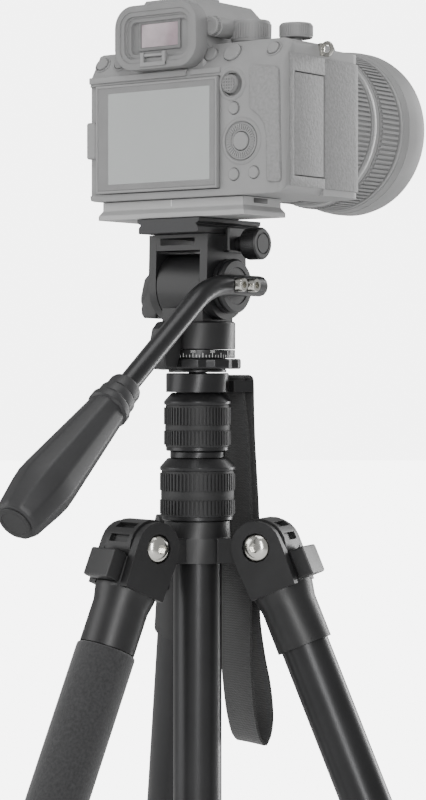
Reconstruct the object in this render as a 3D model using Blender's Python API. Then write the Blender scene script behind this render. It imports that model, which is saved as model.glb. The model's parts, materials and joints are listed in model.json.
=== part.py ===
"""A mirrorless camera with a zoom lens, carried by a fluid head on a travel tripod.

Metres, +Z up. The lens points along +Y and the camera's right hand side is +X. The tripod
stands on z = 0 with its legs closed up and its two column stages down. One object per piece.
"""

import math

import bmesh
import bpy
from mathutils import Matrix, Vector

MM = 0.001

# Clearances
GAP = 0.3 * MM  # between two pieces that touch or slide
TURN_GAP = 0.4 * MM  # round a piece that turns in another

# Legs
LEG_COUNT = 3
LEG_TILT = math.radians(22.8)  # from the vertical
FIRST_LEG_AZIMUTH = math.radians(15.8)
LEG_LENGTH = 440 * MM  # from the pivot to the floor along the leg
PIVOT_RADIUS = 37.5 * MM  # from the column's axis to each leg's pivot
PIVOT_RISE = 9 * MM  # of the pivots above the spider's underside
KNUCKLE_RADIUS = 14.5 * MM
KNUCKLE_HALF_WIDTH = 10.4 * MM
CHEEK_WALL = 5 * MM
CHEEK_STEP = 0.5 * MM  # that each cheek thickens inwards below the knuckle
BOSS_RADIUS = 13.4 * MM
LEG_TUBE_RADIUS = 12.5 * MM
LEG_TUBE_WALL = 1.3 * MM
YOKE_LENGTH = 54 * MM
LEG_TUBE_END = 400 * MM  # below the pivot
LEG_LOCK_LENGTH = 33 * MM
LEG_LOCK_RADIUS = LEG_TUBE_RADIUS + 3 * MM
FOOT_RADIUS = LEG_TUBE_RADIUS + 0.5 * MM
FOOT_LENGTH = 22 * MM
FOAM_RADIUS = LEG_TUBE_RADIUS + 2.8 * MM
FOAM_LENGTH = 210 * MM
PIN_RADIUS = 3 * MM
BOLT_HEAD_RADIUS = 7.2 * MM
LATCH_SIZE = Vector((8.4, 20.2, 15.0)) * MM
LATCH_PLACE = Vector((17.6, 0.0, -15.2)) * MM

# Column. Heights are measured up from the spider's underside.
COLUMN_TUBE_RADIUS = 12.5 * MM
COLUMN_TUBE_WALL = 1.2 * MM
COLUMN_TUBE_DROP = 150 * MM
SPIDER_RADIUS = 18 * MM
SPIDER_HEIGHT = 13.2 * MM
SLEEVE_RADIUS = 17 * MM
LOWER_LOCK_BOTTOM = 21.6 * MM
LOWER_LOCK_TOP = 53.4 * MM
LOWER_LOCK_RADIUS = 19.5 * MM
UPPER_LOCK_BOTTOM = 57.2 * MM
UPPER_LOCK_TOP = 87.2 * MM
UPPER_LOCK_RADIUS = 17.4 * MM
LOCK_RIBS = 12
COLLAR_RADIUS = 14.2 * MM
PLATFORM_RADIUS = 16.3 * MM
PLATFORM_TOP = 97.4 * MM
STRAP_AZIMUTH = FIRST_LEG_AZIMUTH + math.pi / LEG_COUNT  # midway between two legs
STRAP_PLATE_HALF_WIDTH = 15 * MM
STRAP_PLATE_REACH = 25.5 * MM
STRAP_PLATE_THICKNESS = 6 * MM
STRAP_SLOT = 3.2 * MM  # its radial width
STRAP_WIDTH = 25 * MM
STRAP_DROP = 192 * MM
STRAP_DEPTH = 7 * MM
STRAP_CLEAR_OF_LEGS = 26.4 * MM  # of its inner face from the column's axis

# Head
LOCK_RING_RADIUS = 22.5 * MM
LOCK_RING_HEIGHT = 5.3 * MM
LOCK_RING_BOTTOM = 99.4 * MM
LOCK_RING_LOBES = 8
BASE_NECK_RADIUS = 15 * MM
PAN_RADIUS = 19.6 * MM
SCALE_TOP = 109.3 * MM
PAN_TOP = 123.8 * MM
TILT_HEIGHT = 141.8 * MM
DRUM_RADIUS = 17.2 * MM
DRUM_HALF_WIDTH = 13.6 * MM
AXLE_RADIUS = 5 * MM
CRADLE_HALF_WIDTH = 18.8 * MM
CRADLE_HALF_DEPTH = 16.5 * MM
CRADLE_TOP = 168.2 * MM
CRADLE_BRIDGE = 8.2 * MM
CLAMP_KNOB_RADIUS = 8.3 * MM
CLAMP_KNOB_LENGTH = 9.5 * MM
CLAMP_KNOB_REACH = 27.9 * MM
CLAMP_KNOB_OFFSET = 6 * MM  # along +Y from the tilt axis
CLAMP_KNOB_RISE = 21.6 * MM  # above the tilt axis
WING_THICKNESS = 11 * MM
PAN_KNOB_HEIGHT = 115.2 * MM

# Pan handle
HANDLE_SIDE = 31 * MM  # of the rod's axis from the head's middle
HANDLE_DISC_RADIUS = 14 * MM
HANDLE_DROP = math.radians(37.3)
ROD_RADIUS = 5.3 * MM
ROD_FRONT = 11.7 * MM
ROD_BEND_RADIUS = 45 * MM
ROD_BEND_BACK = 31.4 * MM  # where the two straight runs would meet
ROD_STRAIGHT = 112 * MM  # from there to the rod's end inside the grip
GRIP_START = 84 * MM  # along the sloping run, from the same point
GRIP_LENGTH = 100 * MM
GRIP_RADIUS = 14.4 * MM
CLAMP_BOLT_RADIUS = 3.4 * MM
CLAMP_BOLT_BACKS = (2.7 * MM, 13.6 * MM)

# Plates
HEAD_PLATE_HALF_WIDTH = 19.8 * MM
HEAD_PLATE_BACK = -25.2 * MM
HEAD_PLATE_FRONT = 28.6 * MM
HEAD_PLATE_HEIGHT = 7.6 * MM
CAMERA_PLATE_HALF_WIDTH = 45 * MM
CAMERA_PLATE_BACK = -22.1 * MM
CAMERA_PLATE_FRONT = 11 * MM
CAMERA_PLATE_HEIGHT = 9.4 * MM
CAMERA_PLATE_FLARE = 1.7 * MM

# Camera. Its own origin is on the lens axis' plane, at the body's underside, x and y on the
# column's axis.
BODY_LEFT = -52 * MM
BODY_RIGHT = 73 * MM
BODY_BACK = -27 * MM
BODY_FRONT = 22 * MM
BODY_HEIGHT = 77 * MM
BODY_EDGE = 5 * MM
SLOPE_START = BODY_HEIGHT - 13.5 * MM  # where the back starts to lean forward
SLOPE_DEPTH = 8 * MM
GRIP_LEFT = 42 * MM
GRIP_FRONT = 46 * MM
HUMP_HALF_WIDTH = 24.4 * MM
HUMP_TOP = BODY_HEIGHT + 24.5 * MM
LENS_HEIGHT = 45.7 * MM
MOUNT_RADIUS = 34 * MM
MOUNT_FACE = 31 * MM
LENS_FRONT = 151 * MM
LENS_RADIUS = 45.8 * MM
ZOOM_RING = (84 * MM, 101 * MM)
FOCUS_RING = (108 * MM, 127 * MM)
ZOOM_RADIUS = 42.4 * MM
FOCUS_RADIUS = 44 * MM
GLASS_RADIUS = 36 * MM
SCREEN_LEFT = -43.8 * MM
SCREEN_RIGHT = 33.9 * MM
SCREEN_BOTTOM = 3.8 * MM
SCREEN_TOP = 59.4 * MM
SCREEN_FACE = -29.5 * MM
SCREEN_THICKNESS = 4.3 * MM
SCREEN_HINGE = Vector((-47.2, -27.6)) * MM
EYECUP_HALF = Vector((26.0, 16.4)) * MM
EYECUP_BACK = -36 * MM
EYECUP_HEIGHT = BODY_HEIGHT + 4.5 * MM
DOOR_BACK = -18 * MM
DOOR_FRONT = 8 * MM
DOOR_BOTTOM = 9 * MM
DOOR_TOP = 60 * MM
DOOR_THICKNESS = 2 * MM
BUTTON_PROUD = 1.0 * MM
BUTTON_DEPTH = 2.5 * MM
BUTTON_TRAVEL = 0.7 * MM

ROUND = 24
SMALL_ROUND = 12
LEG_LOCK_STEPS = 16
TURN_PHASE = 0.37  # of a facet, so that no facet's edge lies on another piece's flat

LEG_BOTTOM_LENGTH = LEG_LENGTH - FOOT_LENGTH
PIVOT_HEIGHT = LEG_LENGTH * math.cos(LEG_TILT)
SPIDER_BOTTOM = PIVOT_HEIGHT - PIVOT_RISE
CHEEK_INNER = KNUCKLE_HALF_WIDTH + TURN_GAP
CHEEK_OUTER = CHEEK_INNER + CHEEK_WALL
PLATE_BOTTOM = CRADLE_TOP + GAP
CAMERA_PLATE_BOTTOM = PLATE_BOTTOM + HEAD_PLATE_HEIGHT + GAP
BODY_BOTTOM = CAMERA_PLATE_BOTTOM + CAMERA_PLATE_HEIGHT + GAP

# Turns for pieces made along their own +Z
OUTWARD_X = Matrix.Rotation(math.radians(90), 4, "Y")  # to +X
REARWARD = Matrix.Rotation(math.radians(90), 4, "X")  # to -Y
FORWARD = Matrix.Rotation(math.radians(-90), 4, "X")  # to +Y


# ---------------------------------------------------------------- materials and objects
def material(name, colour, roughness, metallic=0.0):
    made = bpy.data.materials.get(name)
    if made is None:
        made = bpy.data.materials.new(name)
        made.use_nodes = True
        shader = made.node_tree.nodes["Principled BSDF"]
        shader.inputs["Base Color"].default_value = (*colour, 1.0)
        shader.inputs["Roughness"].default_value = roughness
        shader.inputs["Metallic"].default_value = metallic
        made.diffuse_color = (*colour, 1.0)
    return made


def anodised():
    return material("black_anodised_metal", (0.018, 0.018, 0.019), 0.36, 0.75)


def cast_black():
    return material("black_painted_casting", (0.03, 0.03, 0.031), 0.5, 0.15)


def rubber():
    return material("black_rubber", (0.022, 0.022, 0.022), 0.72)


def foam_rubber():
    return material("dark_foam", (0.045, 0.045, 0.045), 0.95)


def steel():
    return material("stainless_steel", (0.62, 0.61, 0.58), 0.24, 1.0)


def webbing():
    return material("black_webbing", (0.012, 0.012, 0.012), 0.85)


def pale_body():
    return material("pale_grey_body", (0.31, 0.31, 0.31), 0.55)


def pale_metal():
    return material("pale_grey_plate", (0.36, 0.36, 0.36), 0.45, 0.1)


def pale_rubber():
    return material("pale_grey_rubber", (0.27, 0.27, 0.27), 0.75)


def screen_face():
    return material("pale_screen", (0.33, 0.34, 0.34), 0.3)


def glass():
    return material("lens_glass", (0.08, 0.09, 0.1), 0.08)


def empty(name, parent=None, matrix=None):
    made = bpy.data.objects.new(name, None)
    bpy.context.scene.collection.objects.link(made)
    made.parent = parent
    if matrix is not None:
        made.matrix_local = matrix
    return made


def finish(name, bm, finish_material, parent, matrix):
    """An object from a bmesh, with outward faces and smooth rounds."""
    bmesh.ops.recalc_face_normals(bm, faces=bm.faces)
    mesh = bpy.data.meshes.new(name)
    bm.to_mesh(mesh)
    bm.free()
    mesh.shade_smooth()
    mesh.set_sharp_from_angle(angle=math.radians(35))
    if finish_material is not None:
        mesh.materials.append(finish_material)
    made = bpy.data.objects.new(name, mesh)
    bpy.context.scene.collection.objects.link(made)
    made.parent = parent
    made.matrix_local = matrix if matrix is not None else Matrix.Identity(4)
    return made


def as_tool(piece):
    """Marks a helper solid that only cuts or adds to another."""
    piece.hide_render = True
    piece.display_type = "WIRE"
    return piece


def combine(piece, tool, operation):
    as_tool(tool)
    modifier = piece.modifiers.new(operation.lower(), "BOOLEAN")
    modifier.operation = operation
    modifier.solver = "EXACT"
    modifier.object = tool
    return piece


def add(piece, tool):
    return combine(piece, tool, "UNION")


def cut(piece, tool):
    return combine(piece, tool, "DIFFERENCE")


# ---------------------------------------------------------------- shapes
def turned(name, profile, finish_material, parent, matrix=None, segments=ROUND, radius_at=None):
    """A solid turned about its own Z from a closed outline of (radius, height) points.

    radius_at(radius, height, step) may change a point's radius round the turn.
    """
    bm = bmesh.new()
    rings = []
    for radius, height in profile:
        if radius < 1e-6:
            rings.append([bm.verts.new((0.0, 0.0, height))] * segments)
            continue
        ring = []
        for step in range(segments):
            angle = 2 * math.pi * (step + TURN_PHASE) / segments
            r = radius_at(radius, height, step) if radius_at else radius
            ring.append(bm.verts.new((r * math.cos(angle), r * math.sin(angle), height)))
        rings.append(ring)
    for here, after in zip(rings, rings[1:] + rings[:1]):
        for step in range(segments):
            other = (step + 1) % segments
            corners = [here[step], here[other], after[other], after[step]]
            unique = list(dict.fromkeys(corners))
            if len(unique) > 2:
                bm.faces.new(unique)
    return finish(name, bm, finish_material, parent, matrix)


def rod(name, radius, low, high, finish_material, parent, matrix=None, segments=ROUND):
    """A plain round bar along Z."""
    profile = [(0, low), (radius, low), (radius, high), (0, high)]
    return turned(name, profile, finish_material, parent, matrix, segments)


def tube(name, inner, outer, low, high, finish_material, parent, matrix=None, segments=ROUND):
    profile = [(inner, low), (outer, low), (outer, high), (inner, high)]
    return turned(name, profile, finish_material, parent, matrix, segments)


def rounded(bm, width, segments=2, only=None):
    edges = [e for e in bm.edges if only is None or only(e)]
    bmesh.ops.bevel(
        bm, geom=edges, offset=width, offset_type="OFFSET", segments=segments,
        profile=0.5, affect="EDGES", clamp_overlap=True,
    )


def block(name, low, high, finish_material, parent, matrix=None, edge=0.0, segments=2, only=None):
    """A box between two corners, with its edges rounded."""
    low, high = Vector(low), Vector(high)
    size = high - low
    placed = Matrix.Translation((low + high) / 2) @ Matrix.Diagonal((*size, 1.0))
    bm = bmesh.new()
    bmesh.ops.create_cube(bm, size=1.0, matrix=placed)
    if edge:
        rounded(bm, edge, segments, only)
    return finish(name, bm, finish_material, parent, matrix)


def prism(name, outline, low, high, finish_material, parent, matrix=None, edge=0.0, segments=1):
    """An outline of (x, y) points drawn up along Z from low to high."""
    bm = bmesh.new()
    bottom = [bm.verts.new((x, y, low)) for x, y in outline]
    top = [bm.verts.new((x, y, high)) for x, y in outline]
    caps = [bm.faces.new(bottom), bm.faces.new(top)]
    for i in range(len(outline)):
        j = (i + 1) % len(outline)
        bm.faces.new((bottom[i], bottom[j], top[j], top[i]))
    if edge:
        rims = {e for face in caps for e in face.edges}
        rounded(bm, edge, segments, lambda e: e in rims)
    return finish(name, bm, finish_material, parent, matrix)


def stack(name, levels, finish_material, parent, matrix=None):
    """A solid lofted through rectangles: (height, x low, x high, y low, y high) at each level."""
    bm = bmesh.new()
    rings = []
    for z, x0, x1, y0, y1 in levels:
        corners = ((x0, y0), (x1, y0), (x1, y1), (x0, y1))
        rings.append([bm.verts.new((x, y, z)) for x, y in corners])
    bm.faces.new(rings[0])
    bm.faces.new(rings[-1])
    for here, after in zip(rings, rings[1:]):
        for i in range(4):
            j = (i + 1) % 4
            bm.faces.new((here[i], here[j], after[j], after[i]))
    return finish(name, bm, finish_material, parent, matrix)


def arc(centre, radius, start, end, steps):
    """Points round a centre, from one angle to another, in degrees."""
    points = []
    for i in range(steps + 1):
        angle = math.radians(start + (end - start) * i / steps)
        points.append((centre[0] + radius * math.cos(angle), centre[1] + radius * math.sin(angle)))
    return points


def rounded_rectangle(half_x, half_y, corner, steps=4):
    points = []
    for quarter, (sx, sy) in enumerate(((1, 1), (-1, 1), (-1, -1), (1, -1))):
        centre = (sx * (half_x - corner), sy * (half_y - corner))
        points += arc(centre, corner, 90 * quarter, 90 * quarter + 90, steps)
    return points


def swept(name, points, radius, finish_material, parent, segments=SMALL_ROUND):
    """A round bar along points in the YZ plane."""
    bm = bmesh.new()
    rings = []
    for i, point in enumerate(points):
        before = points[max(i - 1, 0)]
        after = points[min(i + 1, len(points) - 1)]
        along = (Vector(after) - Vector(before)).normalized()
        side = Vector((1, 0, 0))
        other = along.cross(side)
        ring = []
        for step in range(segments):
            angle = 2 * math.pi * step / segments
            spot = Vector(point) + radius * (math.cos(angle) * side + math.sin(angle) * other)
            ring.append(bm.verts.new(spot))
        rings.append(ring)
    bm.faces.new(rings[0])
    bm.faces.new(rings[-1])
    for here, after in zip(rings, rings[1:]):
        for step in range(segments):
            other = (step + 1) % segments
            bm.faces.new((here[step], here[other], after[other], after[step]))
    return finish(name, bm, finish_material, parent, None)


def at(x=0.0, y=0.0, z=0.0, turn=None):
    moved = Matrix.Translation((x, y, z))
    return moved @ turn if turn is not None else moved


# ---------------------------------------------------------------- tripod legs
def leg_yoke(name, frame):
    """Two cheeks that straddle the spider's knuckle, on the collar that holds the tube."""
    collar_top = -(KNUCKLE_RADIUS + TURN_GAP)
    wide = LEG_TUBE_RADIUS + 3.2 * MM
    narrow = LEG_TUBE_RADIUS + 1.8 * MM
    seat = LEG_TUBE_RADIUS + GAP
    tube_top = -28 * MM
    profile = [
        (0, collar_top + 6 * MM), (wide, collar_top + 6 * MM), (wide, -25 * MM),
        (narrow, -32 * MM), (narrow, -YOKE_LENGTH), (seat, -YOKE_LENGTH), (seat, tube_top),
        (0, tube_top),
    ]
    yoke = turned(name, profile, cast_black(), frame)
    outline = arc((0, 0), BOSS_RADIUS, 0, 180, 12)
    outline += [(-BOSS_RADIUS, -6 * MM), (-12.5 * MM, -24 * MM), (12.5 * MM, -24 * MM)]
    outline += [(BOSS_RADIUS, -6 * MM)]
    stand = Matrix.Rotation(math.radians(90), 4, "X")
    for side, label in ((1, "left"), (-1, "right")):
        low, high = sorted((side * (CHEEK_INNER - CHEEK_STEP), side * CHEEK_OUTER))
        add(yoke, prism(f"{name}_{label}_cheek", outline, low, high, None, frame, stand))
    room = KNUCKLE_RADIUS + TURN_GAP
    cut(yoke, rod(f"{name}_room", room, -CHEEK_INNER, CHEEK_INNER, None, frame, stand))
    latch_low = LATCH_PLACE - LATCH_SIZE / 2 - Vector((GAP, GAP, GAP))
    latch_high = LATCH_PLACE + LATCH_SIZE / 2 + Vector((GAP + 8 * MM, GAP, GAP))
    cut(yoke, block(f"{name}_latch_room", latch_low, latch_high, None, frame))
    bore = PIN_RADIUS + GAP
    cut(yoke, rod(f"{name}_bore", bore, -20 * MM, 20 * MM, None, frame, stand, SMALL_ROUND))
    for side, label in ((1, "left"), (-1, "right")):
        low, high = sorted((side * (CHEEK_OUTER - 2 * MM), side * (CHEEK_OUTER + 5 * MM)))
        sink = BOLT_HEAD_RADIUS + GAP
        cut(yoke, rod(f"{name}_{label}_sink", sink, low, high, None, frame, stand, SMALL_ROUND))
    return yoke


def pivot_bolt(name, frame):
    """The hinge pin, with a domed head sunk in each cheek."""
    seat = CHEEK_OUTER - 2 * MM + GAP
    dome = [(BOLT_HEAD_RADIUS, seat), (BOLT_HEAD_RADIUS, seat + 1.4 * MM)]
    dome += [(0.72 * BOLT_HEAD_RADIUS, seat + 3.0 * MM), (0.36 * BOLT_HEAD_RADIUS, seat + 3.7 * MM)]
    dome += [(0, seat + 3.9 * MM)]
    up = [(PIN_RADIUS, seat)] + dome
    down = [(r, -z) for r, z in reversed(up)]
    stand = Matrix.Rotation(math.radians(90), 4, "X")
    return turned(name, down + up, steel(), frame, stand, SMALL_ROUND)


def leg_latch(name, frame):
    """The angle stop's pull block, with a hollow for the finger under its face."""
    half = LATCH_SIZE / 2
    latch = block(name, LATCH_PLACE - half, LATCH_PLACE + half, cast_black(), frame,
                  edge=1.2 * MM, segments=2)
    hollow = at(LATCH_PLACE.x - 7 * MM, 0, LATCH_PLACE.z - half.z - 6.5 * MM)
    turn = Matrix.Rotation(math.radians(90), 4, "X")
    cut(latch, rod(f"{name}_hollow", 9 * MM, -9 * MM, 9 * MM, None, frame, hollow @ turn, 24))
    return latch


def leg_tubes(prefix, frame):
    top = -29 * MM
    inner = LEG_TUBE_RADIUS - LEG_TUBE_WALL
    tube(f"{prefix}_upper_tube", inner, LEG_TUBE_RADIUS, -LEG_TUBE_END, top, anodised(), frame)
    slim = inner - GAP
    tube(f"{prefix}_lower_tube", slim - LEG_TUBE_WALL, slim, -LEG_BOTTOM_LENGTH - 14 * MM,
         -70 * MM, anodised(), frame, None, 20)


def leg_lock(name, frame):
    """The twist lock: a ribbed sleeve over the upper tube's end, closing on the lower tube."""
    low = -LEG_TUBE_END - LEG_LOCK_LENGTH / 2
    high = low + LEG_LOCK_LENGTH
    over_tube = LEG_TUBE_RADIUS + GAP
    over_slim = LEG_TUBE_RADIUS - LEG_TUBE_WALL
    shoulder = -LEG_TUBE_END - GAP
    body = LEG_LOCK_RADIUS
    profile = [
        (over_slim, low), (body - 2 * MM, low), (body - 1 * MM, low + 4 * MM),
        (body, low + 6 * MM), (body, high - 5 * MM), (body - 1.4 * MM, high - 3 * MM),
        (body - 1.4 * MM, high), (over_tube, high), (over_tube, shoulder), (over_slim, shoulder),
    ]

    def ribs(radius, height, step):
        ribbed = radius > body - 0.1 * MM and step % 2
        return radius - 0.7 * MM if ribbed else radius

    return turned(name, profile, rubber(), frame, None, LEG_LOCK_STEPS, ribs)


def leg_foot(name, frame, base):
    """A rubber foot round the lower tube's end, worn flat to the floor."""
    grip_low = -LEG_BOTTOM_LENGTH - 15 * MM
    slim = LEG_TUBE_RADIUS - LEG_TUBE_WALL - GAP
    top = -LEG_BOTTOM_LENGTH + 1 * MM
    profile = [
        (0, -LEG_LENGTH - 9 * MM), (FOOT_RADIUS - 1 * MM, -LEG_LENGTH - 9 * MM),
        (FOOT_RADIUS, -LEG_LENGTH + 8 * MM), (FOOT_RADIUS - 0.5 * MM, top),
        (slim + GAP, top), (slim + GAP, grip_low), (0, grip_low),
    ]
    foot = turned(name, profile, rubber(), frame, None, 28)
    under = block(f"{name}_floor", (-0.6, -0.6, -0.1), (0.6, 0.6, 0.0), None, base)
    return cut(foot, under)


def foam_grip(name, frame):
    low = -YOKE_LENGTH - 0.5 * MM - FOAM_LENGTH
    high = low + FOAM_LENGTH
    inner, outer = LEG_TUBE_RADIUS + GAP, FOAM_RADIUS
    profile = [
        (inner, low), (outer - 1 * MM, low), (outer, low + 1.5 * MM), (outer, high - 1.5 * MM),
        (outer - 1 * MM, high), (inner, high),
    ]
    return turned(name, profile, foam_rubber(), frame)


def build_leg(number, base):
    azimuth = FIRST_LEG_AZIMUTH + 2 * math.pi * number / LEG_COUNT
    place = Matrix.Rotation(azimuth, 4, "Z") @ Matrix.Translation((PIVOT_RADIUS, 0, PIVOT_HEIGHT))
    frame = empty(f"leg_{number + 1}_pivot", base, place @ Matrix.Rotation(-LEG_TILT, 4, "Y"))
    prefix = f"leg_{number + 1}"
    leg_yoke(f"{prefix}_yoke", frame)
    pivot_bolt(f"{prefix}_pivot_bolt", frame)
    leg_latch(f"{prefix}_latch", frame)
    leg_tubes(prefix, frame)
    leg_lock(f"{prefix}_twist_lock", frame)
    leg_foot(f"{prefix}_foot", frame, base)
    if number == LEG_COUNT - 1:
        foam_grip(f"{prefix}_foam_grip", frame)


# ---------------------------------------------------------------- column
def spider(frame):
    """The hub that carries the three legs, with the threaded sleeve of the lower lock."""
    bore = COLUMN_TUBE_RADIUS + GAP
    thread = SLEEVE_RADIUS - 1.6 * MM
    profile = [
        (bore, 0), (SPIDER_RADIUS, 0), (SPIDER_RADIUS, SPIDER_HEIGHT - 1 * MM),
        (SLEEVE_RADIUS + 0.4 * MM, SPIDER_HEIGHT), (SLEEVE_RADIUS, LOWER_LOCK_BOTTOM - GAP),
        (thread, LOWER_LOCK_BOTTOM - GAP), (thread, LOWER_LOCK_BOTTOM + 23 * MM),
        (bore, LOWER_LOCK_BOTTOM + 23 * MM),
    ]
    hub = turned("spider", profile, cast_black(), frame)
    for number in range(LEG_COUNT):
        azimuth = FIRST_LEG_AZIMUTH + 2 * math.pi * number / LEG_COUNT
        turn = Matrix.Rotation(azimuth, 4, "Z")
        arm = KNUCKLE_HALF_WIDTH - CHEEK_STEP
        low = (SPIDER_RADIUS - 4 * MM, -arm, 0.4 * MM)
        high = (PIVOT_RADIUS, arm, SPIDER_HEIGHT - 0.4 * MM)
        add(hub, block(f"spider_arm_{number}", low, high, None, frame, turn))
        stand = turn @ at(PIVOT_RADIUS, 0, PIVOT_RISE, REARWARD)
        add(hub, rod(f"spider_knuckle_{number}", KNUCKLE_RADIUS, -KNUCKLE_HALF_WIDTH,
                     KNUCKLE_HALF_WIDTH, None, frame, stand))
        bore_tool = PIN_RADIUS + GAP
        cut(hub, rod(f"spider_bore_{number}", bore_tool, -15 * MM, 15 * MM, None, frame, stand,
                     SMALL_ROUND))
        for notch, angle in enumerate((23, 55)):
            lean = turn @ at(PIVOT_RADIUS, 0, PIVOT_RISE)
            lean = lean @ Matrix.Rotation(math.radians(-angle), 4, "Y")
            notch_low = (KNUCKLE_RADIUS - 2.5 * MM, -7.5 * MM, -2 * MM)
            notch_high = (KNUCKLE_RADIUS + 3 * MM, 7.5 * MM, 2 * MM)
            cut(hub, block(f"spider_notch_{number}_{notch}", notch_low, notch_high, None, frame,
                           lean))
    return hub


def twist_lock(name, frame, low, high, radius, inner, lip, lip_height):
    """A rubber covered clamp ring: two ribbed belts, a smooth belt and a metal ring each end."""
    span = high - low
    body = radius - 1.2 * MM
    end = radius - 1.3 * MM
    ribbed = (low + 0.075 * span, low + 0.385 * span, low + 0.515 * span, low + 0.82 * span)
    profile = [
        (inner, low), (end, low), (end, ribbed[0]), (radius - 0.6 * MM, ribbed[0] + 0.4 * MM),
        (radius, ribbed[1] - 1 * MM), (body, ribbed[1]), (body, ribbed[2]),
        (radius, ribbed[2] + 1 * MM), (radius - 0.6 * MM, ribbed[3] - 0.4 * MM),
        (end, ribbed[3]), (end, high - 2.2 * MM), (end - 2 * MM, high),
        (lip, high), (lip, lip_height), (inner, lip_height),
    ]

    def ribs(point_radius, height, step):
        on_rib = point_radius > radius - 0.7 * MM and step % 2
        return point_radius - 0.7 * MM if on_rib else point_radius

    return turned(name, profile, rubber(), frame, None, 2 * LOCK_RIBS, ribs)


def column(frame):
    wall = COLUMN_TUBE_WALL
    inner = COLUMN_TUBE_RADIUS - wall
    thread = SLEEVE_RADIUS - 1.6 * MM + TURN_GAP
    twist_lock("column_lock_lower", frame, LOWER_LOCK_BOTTOM, LOWER_LOCK_TOP, LOWER_LOCK_RADIUS,
               thread, COLUMN_TUBE_RADIUS + TURN_GAP, LOWER_LOCK_BOTTOM + 24 * MM)
    collar_bottom = LOWER_LOCK_TOP + GAP
    tube_top = UPPER_LOCK_TOP - 3.5 * MM
    profile = [
        (inner, -COLUMN_TUBE_DROP), (COLUMN_TUBE_RADIUS, -COLUMN_TUBE_DROP),
        (COLUMN_TUBE_RADIUS, collar_bottom), (COLLAR_RADIUS, collar_bottom),
        (COLLAR_RADIUS, UPPER_LOCK_BOTTOM - GAP), (COLLAR_RADIUS - 0.8 * MM, UPPER_LOCK_BOTTOM),
        (COLLAR_RADIUS - 0.8 * MM, tube_top), (inner, tube_top),
    ]
    turned("column_outer_tube", profile, anodised(), frame)
    twist_lock("column_lock_upper", frame, UPPER_LOCK_BOTTOM, UPPER_LOCK_TOP, UPPER_LOCK_RADIUS,
               COLLAR_RADIUS - 0.8 * MM + TURN_GAP, inner + 0.2 * MM, tube_top + GAP)
    column_top(frame, inner - GAP)


def column_top(frame, tube_radius):
    """The inner column tube with its platform, head stud and strap plate."""
    platform_bottom = UPPER_LOCK_TOP + GAP
    bore = tube_radius - COLUMN_TUBE_WALL
    stud = 4.6 * MM
    profile = [
        (bore, -COLUMN_TUBE_DROP + 10 * MM), (tube_radius, -COLUMN_TUBE_DROP + 10 * MM),
        (tube_radius, platform_bottom), (PLATFORM_RADIUS, platform_bottom),
        (PLATFORM_RADIUS, PLATFORM_TOP - 0.6 * MM), (PLATFORM_RADIUS - 0.6 * MM, PLATFORM_TOP),
        (stud, PLATFORM_TOP), (stud, PLATFORM_TOP + 6 * MM), (0, PLATFORM_TOP + 6 * MM),
        (0, platform_bottom + 2 * MM), (bore, platform_bottom + 2 * MM),
    ]
    top = turned("column_inner_tube", profile, anodised(), frame)
    turn = Matrix.Rotation(STRAP_AZIMUTH, 4, "Z")
    low = (tube_radius + 1 * MM, -STRAP_PLATE_HALF_WIDTH, platform_bottom + 0.1 * MM)
    high = (STRAP_PLATE_REACH, STRAP_PLATE_HALF_WIDTH, platform_bottom + STRAP_PLATE_THICKNESS)
    add(top, block("strap_plate", low, high, None, frame, turn))
    slot_low = (STRAP_PLATE_REACH - 3.2 * MM - STRAP_SLOT, -STRAP_WIDTH / 2 - 0.6 * MM,
                platform_bottom - 2 * MM)
    slot_high = (STRAP_PLATE_REACH - 3.2 * MM, STRAP_WIDTH / 2 + 0.6 * MM,
                 platform_bottom + STRAP_PLATE_THICKNESS + 2 * MM)
    cut(top, block("strap_slot", slot_low, slot_high, None, frame, turn))
    return top


def wrist_strap(frame):
    """The strap's folded loop below its plate, as the space that it takes up."""
    turn = Matrix.Rotation(STRAP_AZIMUTH, 4, "Z")
    top = UPPER_LOCK_TOP - 1.2 * MM
    half = STRAP_WIDTH / 2
    inner = STRAP_PLATE_REACH - STRAP_SLOT
    clear = STRAP_CLEAR_OF_LEGS
    levels = [
        (top - STRAP_DROP, clear + 5 * MM, clear + STRAP_DEPTH + 7 * MM, -half, half),
        (top - 0.72 * STRAP_DROP, clear + 1 * MM, clear + STRAP_DEPTH + 3 * MM, -half, half),
        (top - 0.33 * STRAP_DROP, clear, clear + STRAP_DEPTH, -half, half),
        (top, inner, inner + STRAP_DEPTH, -half, half),
    ]
    return stack("wrist_strap", levels, webbing(), frame, turn)


# ---------------------------------------------------------------- head
def head_lock_ring(frame):
    inner = BASE_NECK_RADIUS - 0.5 * MM + TURN_GAP
    low, high = LOCK_RING_BOTTOM, LOCK_RING_BOTTOM + LOCK_RING_HEIGHT
    profile = [
        (inner, low), (LOCK_RING_RADIUS - 0.6 * MM, low), (LOCK_RING_RADIUS, low + 0.8 * MM),
        (LOCK_RING_RADIUS, high - 0.8 * MM), (LOCK_RING_RADIUS - 0.6 * MM, high), (inner, high),
    ]
    steps = LOCK_RING_LOBES * 4

    def lobes(radius, height, step):
        scooped = radius > inner + 1 * MM and step % 4 == 0
        return radius - 1.8 * MM if scooped else radius

    return turned("head_lock_ring", profile, anodised(), frame, None, steps, lobes)


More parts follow.
